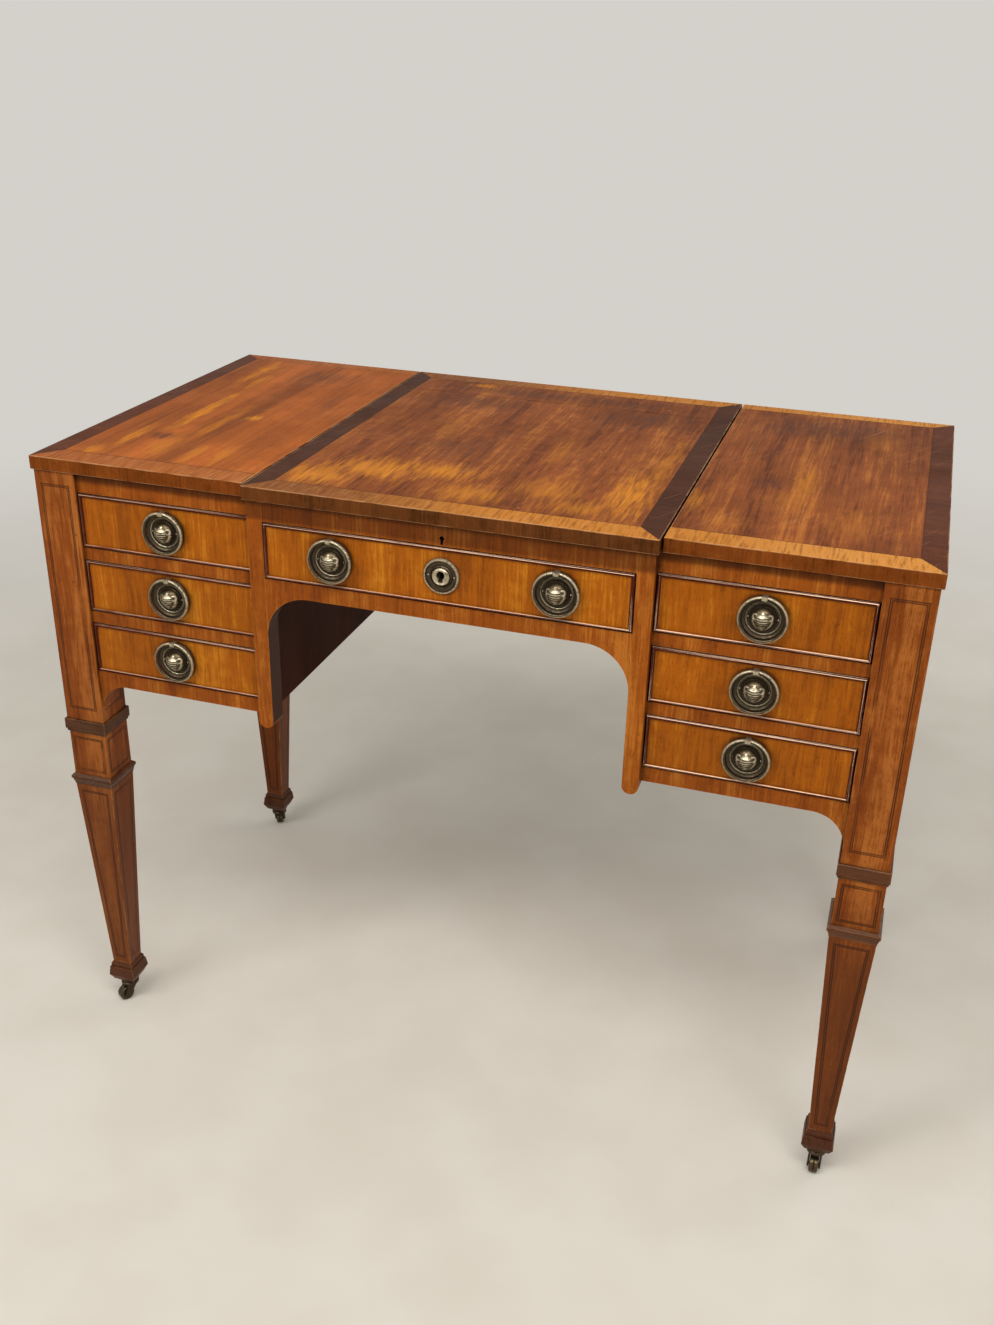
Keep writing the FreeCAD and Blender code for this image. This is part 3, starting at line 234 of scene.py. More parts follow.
class Tree:
    """A node tree being filled."""

    def __init__(self, tree):
        self.tree = tree

    def join(self, socket, value):
        """Feed a socket from another socket, or set its value."""
        if isinstance(value, bpy.types.NodeSocket):
            self.tree.links.new(value, socket)
        elif socket.type == "RGBA" and len(value) == 3:
            socket.default_value = (*value, 1.0)
        else:
            socket.default_value = value

    def add(self, kind, values=None, **settings):
        """Add a node with its settings and its inputs."""
        made = self.tree.nodes.new("ShaderNode" + kind)
        for name, value in settings.items():
            setattr(made, name, value)
        for name, value in (values or {}).items():
            self.join(made.inputs[name], value)
        return made

    def sum(self, operation, *values, clamp=False):
        """One step of arithmetic."""
        made = self.add("Math", operation=operation, use_clamp=clamp)
        for place, value in enumerate(values):
            self.join(made.inputs[place], value)
        return made.outputs[0]

    def scaled(self, value, share):
        """A value times a share."""
        return self.sum("MULTIPLY", value, share)

    def less(self, value, taken):
        """A value with another taken off."""
        return self.sum("SUBTRACT", value, taken)

    def rest(self, value):
        """What a value leaves of 1."""
        return self.sum("SUBTRACT", 1.0, value)

    def onto(self, value, share, base):
        """A value times a share, on top of a base."""
        return self.sum("MULTIPLY_ADD", value, share, base)

    def vector(self, operation, first, second):
        """One step of arithmetic on vectors."""
        made = self.add("VectorMath", operation=operation)
        self.join(made.inputs[0], first)
        self.join(made.inputs[1], second)
        return made.outputs["Value" if operation in ("LENGTH", "DOT_PRODUCT") else "Vector"]

    def mix(self, factor, first, second, blend="MIX"):
        """Two colours mixed."""
        made = self.add("Mix", data_type="RGBA", blend_type=blend)
        self.join(made.inputs[MIX_FACTOR], factor)
        self.join(made.inputs[MIX_FIRST], first)
        self.join(made.inputs[MIX_SECOND], second)
        return made.outputs[MIX_RESULT]

    def pick(self, factor, first, second):
        """One of two values: the first at 0, the second at 1."""
        return self.onto(second, factor, self.scaled(first, self.rest(factor)))

    def smooth(self, value, low, high):
        """0 below low, 1 above high, with a soft step between."""
        made = self.add("MapRange", {"Value": value, "From Min": low, "From Max": high},
                        interpolation_type="SMOOTHSTEP")
        return made.outputs["Result"]

    def fade(self, value, low, high):
        """1 below low, 0 above high, with a soft step between."""
        return self.rest(self.smooth(value, low, high))

    def noise(self, vector, scales, detail=2.0, roughness=0.5):
        """Noise with its own number of waves a metre along each axis."""
        stretched = self.vector("MULTIPLY", vector, scales)
        made = self.add("TexNoise", {"Vector": stretched, "Scale": 1.0, "Detail": detail,
                                     "Roughness": roughness})
        return made.outputs["Fac"]

    def parts(self, vector):
        """The three parts of a vector."""
        return self.add("SeparateXYZ", {"Vector": vector}).outputs

    def joined(self, x, y, z):
        """A vector from its three parts."""
        return self.add("CombineXYZ", {"X": x, "Y": y, "Z": z}).outputs["Vector"]

    def place(self):
        """The place on the piece, in metres."""
        return self.add("TexCoord").outputs["Object"]

    def facing(self):
        """The way that the surface faces, as three sizes from 0 to 1."""
        normal = self.parts(self.add("TexCoord").outputs["Normal"])
        return [self.sum("ABSOLUTE", part) for part in normal]

    def group(self, name, **values):
        """A placed copy of a shared group."""
        made = self.tree.nodes.new("ShaderNodeGroup")
        made.node_tree = bpy.data.node_groups[name]
        for socket, value in values.items():
            self.join(made.inputs[socket.replace("_", " ")], value)
        return made.outputs


def new_group(name, inputs, outputs):
    """An empty shared group with its sockets: its tree, the values given and the result."""
    tree = bpy.data.node_groups.new(name, "ShaderNodeTree")
    for label, kind in inputs:
        tree.interface.new_socket(name=label, in_out="INPUT", socket_type="NodeSocket" + kind)
    for label, kind in outputs:
        tree.interface.new_socket(name=label, in_out="OUTPUT", socket_type="NodeSocket" + kind)
    start = tree.nodes.new("NodeGroupInput")
    end = tree.nodes.new("NodeGroupOutput")
    return Tree(tree), start.outputs, end.inputs


def make_grain_group():
    """Mahogany that runs along Z: ribbons, streaks, a faint cross figure and pores."""
    tree, given, result = new_group(
        "Mahogany grain",
        [("Vector", "Vector"), ("Dark", "Color"), ("Middle", "Color"), ("Light", "Color"),
         ("Figure", "Float")],
        [("Color", "Color"), ("Height", "Float")])
    wander = tree.add("TexNoise", {"Vector": given["Vector"], "Scale": 5.0, "Detail": 2.0})
    bent = tree.vector("SUBTRACT", wander.outputs["Color"], (0.5, 0.5, 0.5))
    bent = tree.vector("MULTIPLY", bent, (0.012, 0.012, 0.0))
    place = tree.vector("ADD", given["Vector"], bent)
    ribbon = tree.noise(place, (22, 22, 1.6))
    stripe = tree.noise(place, (120, 120, 9))
    streak = tree.noise(place, (430, 430, 22), detail=3.0, roughness=0.6)
    cross = tree.noise(place, (60, 60, 90))
    pore = tree.noise(place, (2300, 2300, 240), detail=1.0)
    tone = tree.onto(ribbon, 0.42, tree.scaled(streak, 0.34))
    tone = tree.onto(stripe, 0.24, tone)
    figure = tree.scaled(tree.less(cross, 0.5), given["Figure"])
    tone = tree.sum("ADD", tone, figure)
    body = tree.mix(tree.smooth(tone, 0.38, 0.50), given["Dark"], given["Middle"])
    body = tree.mix(tree.smooth(tone, 0.50, 0.63), body, given["Light"])
    dots = tree.smooth(pore, 0.60, 0.74)
    tree.join(result["Color"], tree.mix(tree.scaled(dots, 0.65), body, given["Dark"],
                                        blend="MULTIPLY"))
    tree.join(result["Height"], tree.less(tree.scaled(streak, 0.4), dots))


def make_string_group():
    """A rectangle of an inlaid strip with a dark line at each side, drawn on a face from the place
    across and up the face."""
    tree, given, result = new_group(
        "Inlaid rectangle",
        [("Across", "Float"), ("Up", "Float"), ("Half width", "Float"), ("Low", "Float"),
         ("High", "Float"), ("Strip", "Float"), ("Line", "Float")],
        [("Mask", "Float")])
    side = tree.less(tree.sum("ABSOLUTE", given["Across"]), given["Half width"])
    middle = tree.scaled(tree.sum("ADD", given["Low"], given["High"]), 0.5)
    half = tree.less(given["High"], middle)
    rise = tree.sum("ABSOLUTE", tree.less(given["Up"], middle))
    end = tree.less(rise, half)
    away = tree.sum("ABSOLUTE", tree.sum("MAXIMUM", side, end))
    half_line = tree.scaled(given["Line"], 0.5)
    half_strip = tree.scaled(given["Strip"], 0.5)
    at_side = tree.sum("COMPARE", away, tree.less(half_strip, half_line), half_line)
    within = tree.sum("LESS_THAN", away, half_strip)
    tree.join(result["Mask"], tree.sum("MAXIMUM", at_side, tree.scaled(within, 0.42)))


def make_worn_group():
    """A soft oval place, broken up by streaks that run along Y."""
    tree, given, result = new_group(
        "Worn place", [("Vector", "Vector"), ("Centre", "Vector"), ("Reach", "Vector")],
        [("Mask", "Float")])
    away = tree.vector("SUBTRACT", given["Vector"], given["Centre"])
    share = tree.vector("DIVIDE", away, given["Reach"])
    near = tree.rest(tree.vector("LENGTH", share, (0, 0, 0)))
    broken = tree.noise(given["Vector"], (230, 26, 1), detail=5.0, roughness=0.62)
    rough = tree.onto(tree.less(broken, 0.5), 2.4, near)
    fine = tree.smooth(tree.noise(given["Vector"], (520, 30, 1), detail=3.0), 0.30, 0.62)
    fine = tree.onto(fine, 0.5, 0.5)
    tree.join(result["Mask"], tree.scaled(tree.smooth(rough, 0.0, 1.0), fine))


def make_handling_group():
    """Marks of use: soft blotches, fine scratches and small knocks."""
    tree, given, result = new_group(
        "Marks of use", [("Vector", "Vector")],
        [("Blotch", "Float"), ("Scratch", "Float"), ("Knock", "Float")])
    blotch = tree.noise(given["Vector"], (11, 11, 7), detail=4.0)
    tree.join(result["Blotch"], tree.smooth(blotch, 0.36, 0.66))
    turned_place = tree.add("VectorRotate", {"Vector": given["Vector"], "Angle": 0.5},
                            rotation_type="Z_AXIS").outputs["Vector"]
    fine = tree.noise(turned_place, (900, 12, 30), detail=1.0)
    tree.join(result["Scratch"], tree.smooth(fine, 0.70, 0.74))
    dents = tree.add("TexVoronoi", {"Vector": given["Vector"], "Scale": 26.0})
    far = tree.noise(given["Vector"], (8, 8, 8))
    knocked = tree.smooth(far, 0.50, 0.56)
    dent = tree.fade(dents.outputs["Distance"], 0.02, 0.06)
    tree.join(result["Knock"], tree.scaled(knocked, dent))


def make_corner_group():
    """Old wax and grime with painted shade, from occlusion: 1 deep in a corner, 0 in the open."""
    tree, given, result = new_group("Painted shade and grime in corners", [("Vector", "Vector"), ("Reach", "Float")],
                                    [("Mask", "Float")])
    # Ambient occlusion darkens corners, recesses and gaps between parts: painted shade
    free = tree.add("AmbientOcclusion", {"Distance": given["Reach"]}, samples=4).outputs["AO"]
    broken = tree.less(tree.noise(given["Vector"], (70, 70, 70), detail=3.0), 0.5)
    tree.join(result["Mask"], tree.fade(tree.onto(broken, 0.4, free), 0.40, 0.88))


def make_edge_group():
    """Rubbed edges: 1 on an edge, broken up along its run."""
    tree, given, result = new_group("Rubbed edges", [("Vector", "Vector"), ("Width", "Float")],
                                    [("Mask", "Float")])
    eased = tree.add("Bevel", {"Radius": given["Width"]}, samples=4).outputs["Normal"]
    plain = tree.add("NewGeometry").outputs["Normal"]
    turn = tree.rest(tree.vector("DOT_PRODUCT", eased, plain))
    chips = tree.smooth(tree.noise(given["Vector"], (55, 55, 55), detail=4.0), 0.40, 0.62)
    tree.join(result["Mask"], tree.scaled(tree.smooth(turn, 0.02, 0.14), chips))


def finished(name, base, roughness, height=None, depth=0.0002, metallic=0.0, **sockets):
    """Finish a blank material with its colour, roughness and height."""
    tree = Tree(bpy.data.materials[name].node_tree)
    shader = tree.tree.nodes["Principled BSDF"]
    tree.join(shader.inputs["Base Color"], base)
    tree.join(shader.inputs["Roughness"], roughness)
    tree.join(shader.inputs["Metallic"], metallic)
    for socket, value in sockets.items():
        tree.join(shader.inputs[socket.replace("_", " ")], value)
    if height is not None:
        bump = tree.add("Bump", {"Height": height, "Distance": depth, "Strength": 1.0})
        tree.join(shader.inputs["Normal"], bump.outputs["Normal"])


def blank(name):
    """A new material's tree, ready to fill."""
    material = bpy.data.materials.new(name)
    material.use_nodes = True
    return Tree(material.node_tree)


def dress(piece, *names):
    """Give a piece its materials; without further choice the first one covers it."""
    piece.data.materials.clear()
    for name in names:
        piece.data.materials.append(bpy.data.materials[name])


def dress_nodes(finishes):
    """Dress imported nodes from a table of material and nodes."""
    for material, nodes in finishes.items():
        for node in nodes:
            dress(NODES[node], material)


def two_metals(piece, is_bright):
    """Dress a piece in toned brass, and its faces that a test picks in rubbed brass."""
    dress(piece, "Toned brass", "Rubbed brass")
    for polygon in piece.data.polygons:
        polygon.material_index = 1 if is_bright(polygon.center) else 0


def merged_copy(node, name):
    """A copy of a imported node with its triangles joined, standing for that node."""
    source = NODES[node]
    bpy.ops.object.select_all(action="DESELECT")
    piece = source.copy()
    piece.data = source.data.copy()
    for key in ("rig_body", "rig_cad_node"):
        del piece[key]
    piece.name = name
    piece.data.name = name
    piece.parent = None
    piece.matrix_world = Matrix.Identity(4)
    bpy.context.scene.collection.objects.link(piece)
    edit(piece, "SELECT")
    bpy.ops.mesh.remove_doubles(threshold=SLACK)
    leave()
    bpy.ops.object.shade_flat()
    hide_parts(node)
    return piece


def alone(piece):
    """Select one piece only and make it the active one."""
    bpy.ops.object.select_all(action="DESELECT")
    piece.select_set(True)
    bpy.context.view_layer.objects.active = piece


def edit(piece, action="DESELECT"):
    """Go into edit mode on one piece with nothing selected, or with all of it."""
    alone(piece)
    bpy.ops.object.mode_set(mode="EDIT")
    bpy.ops.mesh.select_all(action=action)


def leave():
    """Go back to object mode."""
    bpy.ops.object.mode_set(mode="OBJECT")


def settle(piece, name):
    """Name a piece and put its place into its mesh."""
    piece.name = name
    piece.data.name = name
    alone(piece)
    bpy.ops.object.transform_apply(location=True, rotation=True, scale=True)
    return piece


def join(pieces, name):
    """Several meshes joined as one piece."""
    bpy.ops.object.select_all(action="DESELECT")
    for piece in pieces:
        piece.select_set(True)
    bpy.context.view_layer.objects.active = pieces[0]
    bpy.ops.object.join()
    return settle(bpy.context.object, name)


def copied(piece, name, offset):
    """A copy of a piece with its own mesh, moved by an offset."""
    made = piece.copy()
    made.data = piece.data.copy()
    made.name = name
    made.data.name = name
    bpy.context.scene.collection.objects.link(made)
    made.data.transform(Matrix.Translation(offset))
    return made


def draw_out(steps, way):
    """Draw the selected face out along a way, through (radius, reach) steps."""
    for (radius, reach), (next_radius, next_reach) in zip(steps, steps[1:]):
        move = Vector(way) * (next_reach - reach)
        bpy.ops.mesh.extrude_region_move(
            TRANSFORM_OT_translate={"value": move, "orient_type": "GLOBAL"})
        share = next_radius / radius
        bpy.ops.transform.resize(value=(share, share, share))


def turned(steps, place, sides):
    """A disc that faces the front, drawn out through (radius, reach) steps."""
    first_radius, first_reach = steps[0]
    bpy.ops.object.select_all(action="DESELECT")
    bpy.ops.mesh.primitive_circle_add(vertices=sides, radius=first_radius, fill_type="NGON",
                                      location=Vector(place) - Vector((0, first_reach, 0)),
                                      rotation=TO_FRONT)
    piece = bpy.context.object
    edit(piece, "SELECT")
    draw_out(steps, (0, -1, 0))
    leave()
    bpy.ops.object.transform_apply(location=True, rotation=True, scale=True)
    bpy.ops.object.shade_smooth_by_angle(angle=math.radians(50))
    return piece


def cap_steps(radius, rise, reach, count):
    """Steps of a low dome: (radius, reach) from its rim, at a reach, up to its crown."""
    ball = (radius * radius + rise * rise) / (2 * rise)
    spread = math.asin(radius / ball)
    angles = [spread * (1 - step / count) for step in range(count)] + [spread / (count * 6)]
    return [(ball * math.sin(angle), reach + rise - ball + ball * math.cos(angle))
            for angle in angles]


def bevelled_box(low, high, width):
    """A block between two corners with its edges eased."""
    low = Vector(low)
    high = Vector(high)
    bpy.ops.object.select_all(action="DESELECT")
    bpy.ops.mesh.primitive_cube_add(size=1.0, location=(low + high) / 2)
    piece = bpy.context.object
    edit(piece, "SELECT")
    bpy.ops.transform.resize(value=high - low)
    bpy.ops.mesh.bevel(offset=width, segments=2, affect="EDGES")
    leave()
    bpy.ops.object.transform_apply(location=True, rotation=True, scale=True)
    bpy.ops.object.shade_smooth_by_angle(angle=math.radians(40))
    return piece


def wood_colour(tree, vector, axis, tones, figure=0.12, stretch=1.0):
    """Grain that runs along an axis of the vector, stretched along its run: colour and height."""
    share = [1.0 / stretch if letter == axis else 1.0 for letter in "XYZ"]
    x, y, z = tree.parts(tree.vector("MULTIPLY", vector, share))
    order = {"X": (y, z, x), "Y": (x, z, y), "Z": (x, y, z)}[axis]
    dark, middle, light = tones
    made = tree.group("Mahogany grain", Vector=tree.joined(*order), Dark=dark, Middle=middle,
                      Light=light, Figure=figure)
    return made["Color"], made["Height"]


def overhang_shadow(tree, place):
    """Painted shadow: 1 close under the tops' overhang, where its shadow falls, and 0 below it."""
    x, _, z = tree.parts(place)
    under_lid = tree.sum("LESS_THAN", tree.sum("ABSOLUTE", x), LID_BOX[1].x)
    down = tree.less(TOP_BOX[0].z, z)
    below = tree.less(down, tree.pick(under_lid, SIDE_SHADOW_DROP, LID_SHADOW_DROP))
    return tree.fade(below, 0.0, 0.006)


def aged(tree, place, base, colours, wear=0.5, reach=0.010, width=0.0012):
    """Timber with darker blotches, rubbed edges, grime and painted shade in its corners and small
    dents: its colour and its dents."""
    marks = tree.group("Marks of use", Vector=place)
    edges = tree.group("Rubbed edges", Vector=place, Width=width)["Mask"]
    corners = tree.group("Painted shade and grime in corners", Vector=place, Reach=reach)["Mask"]
    base = tree.mix(tree.scaled(tree.rest(marks["Blotch"]), 0.16), base, colours.dirt_and_shade)
    base = tree.mix(tree.scaled(edges, wear), base, colours.rubbed)
    base = tree.mix(tree.scaled(marks["Knock"], 0.5), base, colours.dirt_and_shade)
    # Painted shade, with old grime, where the occlusion finds corners and gaps
    base = tree.mix(tree.scaled(corners, 0.85), base, colours.dirt_and_shade)
    return base, marks


def shades(middle, depth=0.65, lift=1.4):
    """Dark, middle and light tones of one colour."""
    return (tuple(part * depth for part in middle), tuple(middle),
            tuple(min(1.0, part * lift) for part in middle))


def polished_wood(name, tones, colours, axis="Z", roughness=0.38, shift=0.0, wear=0.5,
                  reach=0.010, on_front=False, keyhole=None, **sockets):
    """Polished mahogany with its grain along one axis. Timber on the front gets painted shade
    inside the kneehole and a painted shadow under the tops; the wood at a keyhole is painted
    dark as the shade in its hole."""
    tree = blank(name)
    place = tree.place()
    moved = tree.vector("ADD", place, (shift, shift * 2, shift * 3))
    base, height = wood_colour(tree, moved, axis, tones)
    base, marks = aged(tree, place, base, colours, wear, reach)
    if keyhole:
        # Painted shade: the wood seen through the keyhole is painted in the tarnish colour
        across = tree.vector("MULTIPLY", tree.vector("SUBTRACT", place, keyhole), (1.0, 0.0, 1.0))
        near = tree.fade(tree.vector("LENGTH", across, (0, 0, 0)), 0.007, 0.009)
        base = tree.mix(near, base, colours.tarnish)
    if on_front:
        # Painted shadow under the overhang of the tops
        base = tree.mix(tree.scaled(overhang_shadow(tree, place), 0.55), base, colours.dirt_and_shade)
        # Painted shade on faces inside the kneehole that do not face the front
        inside = tree.sum("LESS_THAN", tree.sum("ABSOLUTE", tree.parts(place)[0]), KNEE_HALF)
        aside = tree.fade(tree.facing()[1], 0.5, 0.8)
        base = tree.mix(tree.scaled(inside, aside), base, colours.inner)
    rough = tree.onto(marks["Blotch"], 0.10, roughness)
    height = tree.less(height, tree.scaled(marks["Knock"], 2.0))
    sockets.setdefault("Specular_IOR_Level", 0.12)
    finished(name, base, rough, height, depth=0.00008, Specular_Tint=WARM_SHEEN, **sockets)


def make_bead_material(colours):
    """Glossy bead, dark at its sides, with a painted highlight on a level bead's upper crest."""
    name = "Bead"
    tree = blank(name)
    place = tree.place()
    base, height = wood_colour(tree, place, "X", shades(colours.bead), 0.1)
    normal = tree.add("TexCoord").outputs["Normal"]
    # Painted highlight where the normal faces up and forward, towards the lamps
    crest = tree.smooth(tree.vector("DOT_PRODUCT", normal, (0.0, -0.75, 0.66)), 0.84, 0.95)
    broken = tree.smooth(tree.noise(place, (26, 26, 26), detail=4.0), 0.26, 0.50)
    # The painted highlight grows stronger towards +X
    rubbed = tree.onto(tree.smooth(tree.parts(place)[0], -0.45, 0.25), 0.60, 0.08)
    crest = tree.scaled(crest, tree.onto(broken, 0.35, rubbed))
    base = tree.mix(crest, base, colours.bead_highlight)
    # Painted shade, with old grime, beside the beads
    corners = tree.group("Painted shade and grime in corners", Vector=place, Reach=0.003)["Mask"]
    base = tree.mix(tree.scaled(corners, 0.8), base, colours.dirt_and_shade)
    rough = tree.onto(broken, 0.08, 0.28)
    finished(name, base, rough, height, depth=0.00003, Specular_IOR_Level=0.10,
             Specular_Tint=WARM_SHEEN)


def make_leg_material(sizes, colours):
    """Leg timber with inlaid rectangles on the post, the block and the taper."""
    name = "Inlaid leg"
    tree = blank(name)
    place = tree.place()
    x, y, z = tree.parts(place)
    half_post = (LEG_BOX[1].x - LEG_BOX[0].x) / 2
    leg_x = (LEG_BOX[0].x + LEG_BOX[1].x) / 2
    front_y = (LEG_BOX[0].y + LEG_BOX[1].y) / 2
    rear_y = (REAR_LEG_BOX[0].y + REAR_LEG_BOX[1].y) / 2
    middle_y = (front_y + rear_y) / 2
    spread = rear_y - middle_y
    local_x = tree.less(tree.sum("ABSOLUTE", x), leg_x)
    from_middle = tree.sum("ABSOLUTE", tree.less(y, middle_y))
    local_y = tree.less(from_middle, spread)
    facing = tree.facing()
    across = tree.pick(tree.sum("GREATER_THAN", facing[0], facing[1]), local_x, local_y)
    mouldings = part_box("leg_mouldings")
    collar_top = mouldings[1].z
    taper_top = mouldings[0].z
    taper_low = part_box("spade_feet")[1].z
    block_low = taper_top + MOULDING_HEIGHT
    block_high = collar_top - COLLAR_HEIGHT
    strip = {"Strip": sizes.string_width, "Line": sizes.string_edge}
    post = tree.group("Inlaid rectangle", Across=across, Up=z,
                      Half_width=half_post - sizes.post_inset, Low=collar_top + sizes.post_end,
                      High=LEG_BOX[1].z - sizes.post_end, **strip)
    block = tree.group("Inlaid rectangle", Across=across, Up=z,
                       Half_width=half_post - sizes.block_inset, Low=block_low + sizes.block_end,
                       High=block_high - sizes.block_end, **strip)
    slope = (TAPER_TOP_HALF - TAPER_LOW_HALF) / (taper_top - taper_low)
    half_taper = tree.onto(tree.less(z, taper_low), slope, TAPER_LOW_HALF - sizes.taper_inset)
    taper = tree.group("Inlaid rectangle", Across=across, Up=z, Half_width=half_taper,
                       Low=taper_low + sizes.taper_end, High=taper_top - sizes.taper_end, **strip)
    on_block = tree.sum("LESS_THAN", z, collar_top)
    on_taper = tree.sum("LESS_THAN", z, taper_top)
    mask = tree.pick(on_block, tree.scaled(post["Mask"], 0.8), tree.scaled(block["Mask"], 0.9))
    mask = tree.pick(on_taper, mask, tree.scaled(taper["Mask"], 0.9))
    lost = tree.smooth(tree.noise(place, (34, 34, 12), detail=3.0), 0.26, 0.44)
    mask = tree.scaled(mask, lost)
    tones = (colours.leg_dark, colours.leg_middle, colours.leg_light)
    base, height = wood_colour(tree, place, "Z", tones)
    # Painted shade: the legs darken towards the feet, where less light falls
    lower = tree.fade(z, taper_top - 0.06, collar_top)
    base = tree.mix(tree.scaled(lower, 0.65), base, colours.leg_low_shade)
    base = tree.mix(mask, base, colours.string)
    base, marks = aged(tree, place, base, colours, 0.75, width=0.0016)
    height = tree.less(height, tree.scaled(mask, 0.6))
    rough = tree.onto(marks["Blotch"], 0.08, 0.34)
    finished(name, base, rough, height, depth=0.00012, Specular_IOR_Level=0.14,
             Specular_Tint=WARM_SHEEN)


def patches(tree, place, height, places):
    """A mask of several worn places, each (x, y, reach across, reach back, strength)."""
    mask = None
    for centre_x, centre_y, reach_x, reach_y, strength in places:
        spot = tree.group("Worn place", Vector=place, Centre=(centre_x, centre_y, height),
                          Reach=(reach_x, reach_y, 1.0))["Mask"]
        spot = tree.scaled(spot, strength)
        mask = spot if mask is None else tree.sum("MAXIMUM", mask, spot)
    return mask


def make_top_material(name, box, bands, marks_on_top, tones, sizes, colours, stretch=1.0):
    """A veneered top: field, borders and crossbands that meet in mitres, edges and underside.

    bands gives the width at the left, right, front and back, or 0 for none.
    marks_on_top is two lists: the worn places and the stains.
    tones gives the field's three tones, the crossband, the border at the left and right ends, and
    the edge. stretch lengthens the field's streaks.
    """
    low, high = box
    field_tones, crossband, border_left, border_right, edge_tone = tones
    tree = blank(name)
    place = tree.place()
    x, y, z = tree.parts(place)
    left, right, front, back = bands
    spans = {"left": (tree.less(x, low.x), left),
             "right": (tree.less(high.x, x), right),
             "front": (tree.less(y, low.y), front),
             "back": (tree.less(high.y, y), back)}
    share = {side: tree.sum("DIVIDE", span, width)
             for side, (span, width) in spans.items() if width}
    across = tree.sum("MINIMUM", share.get("left", FAR), share.get("right", FAR))
    along = tree.sum("MINIMUM", share.get("front", FAR), share.get("back", FAR))
    nearest = tree.sum("MINIMUM", across, along)
    in_band = tree.sum("LESS_THAN", nearest, 1.0)
    is_light = tree.sum("LESS_THAN", along, across)
    field, height = wood_colour(tree, place, "Y", field_tones, stretch=stretch)
    marks = tree.group("Marks of use", Vector=place)
    field = tree.mix(tree.scaled(tree.rest(marks["Blotch"]), 0.30), field, colours.top_stain)
    stained = patches(tree, place, high.z, marks_on_top[1])
    field = tree.mix(stained, field, colours.top_stain)
    rubbed = patches(tree, place, high.z, marks_on_top[0])
    field = tree.mix(rubbed, field, colours.top_worn)
    turn = tree.smooth(x, low.x + (high.x - low.x) * 0.15, low.x + (high.x - low.x) * 0.7)
    border = tree.mix(turn, border_left, border_right)
    flecks = tree.noise(place, (330, 34, 1), detail=5.0, roughness=0.65)
    border = tree.mix(tree.scaled(tree.fade(flecks, 0.34, 0.52), 0.55), border, colours.top_dark)
    border = tree.mix(tree.scaled(tree.smooth(flecks, 0.54, 0.70), 0.3), border, colours.top_arris)
    dark, _ = wood_colour(tree, place, "X", shades(crossband, 0.75, 1.3), 0.15)
    surface = tree.mix(in_band, field, tree.mix(is_light, dark, border))
    seam_share = sizes.seam_line / sizes.side_front_band
    to_field = tree.sum("COMPARE", nearest, 1.0, seam_share)
    to_mitre = tree.sum("COMPARE", tree.less(along, across), 0.0, seam_share)
    seam = tree.sum("MAXIMUM", to_field, tree.scaled(to_mitre, in_band))
    surface = tree.mix(tree.scaled(seam, 0.6), surface, colours.string)
    surface = tree.mix(tree.scaled(marks["Scratch"], 0.22), surface, colours.top_arris)
    surface = tree.mix(tree.scaled(marks["Knock"], 0.55), surface, colours.top_arris)
    edge, _ = wood_colour(tree, place, "Z", shades(edge_tone, 0.6, 1.35), 0.2)
    on_top = tree.sum("GREATER_THAN", tree.facing()[2], 0.6)
    base = tree.mix(on_top, edge, surface)
    rim = FAR
    for span, _ in spans.values():
        rim = tree.sum("MINIMUM", rim, span)
    from_top = tree.less(high.z, z)
    from_under = tree.less(z, low.z)
    arris = tree.pick(on_top, tree.fade(tree.sum("MINIMUM", from_top, from_under), 0.0006, 0.0013),
                      tree.fade(rim, 0.0006, 0.0014))
    chips = tree.smooth(tree.noise(place, (48, 48, 48), detail=5.0), 0.28, 0.64)
    base = tree.mix(tree.scaled(tree.scaled(arris, chips), 0.50), base, colours.top_arris)
    # Painted shade, with old grime, in the tops' corners and joints
    corners = tree.group("Painted shade and grime in corners", Vector=place, Reach=0.008)["Mask"]
    base = tree.mix(tree.scaled(corners, 0.8), base, colours.dirt_and_shade)
    under = tree.scaled(tree.sum("LESS_THAN", from_under, 0.0004), on_top)
    board, _ = wood_colour(tree, place, "X", shades(colours.top_dark), 0.2)
    base = tree.mix(under, base, board)
    rough = tree.onto(marks["Blotch"], -0.08, 0.44)
    rough = tree.onto(rubbed, 0.10, rough)
    height = tree.less(height, tree.scaled(seam, 1.5))
    height = tree.less(height, tree.scaled(marks["Knock"], 2.0))
    finished(name, base, rough, height, depth=0.00010, Specular_IOR_Level=0.02,
             Specular_Tint=WARM_SHEEN)


def make_metal(name, bright, dark, roughness, grime=1.0, reach=0.004):
    """Metal that is dark in its hollows and rubbed bright where it stands out."""
    tree = blank(name)
    place = tree.place()
    free = tree.add("AmbientOcclusion", {"Distance": reach}, samples=6).outputs["AO"]
    worn = tree.smooth(free, 0.50, 0.97)
    mottle = tree.noise(place, (380, 380, 380), detail=4.0, roughness=0.6)
    worn = tree.scaled(worn, tree.smooth(mottle, 0.22, 0.56))
    shade = tree.sum("MULTIPLY", tree.rest(worn), grime, clamp=True)
    base = tree.mix(shade, bright, dark)
    rough = tree.onto(shade, 0.25, roughness)
    metallic = tree.rest(tree.scaled(shade, 0.35))
    finished(name, base, rough, mottle, depth=0.00005, metallic=metallic)


def make_mirror():
    """Old silvering with faint clouding."""
    name = "Old mirror"
    tree = blank(name)
    cloud = tree.smooth(tree.noise(tree.place(), (25, 25, 25), detail=4.0), 0.55, 0.8)
    base = tree.mix(cloud, screen(224, 226, 224), screen(150, 144, 130))
    rough = tree.onto(cloud, 0.25, 0.02)
    finished(name, base, rough, metallic=1.0)


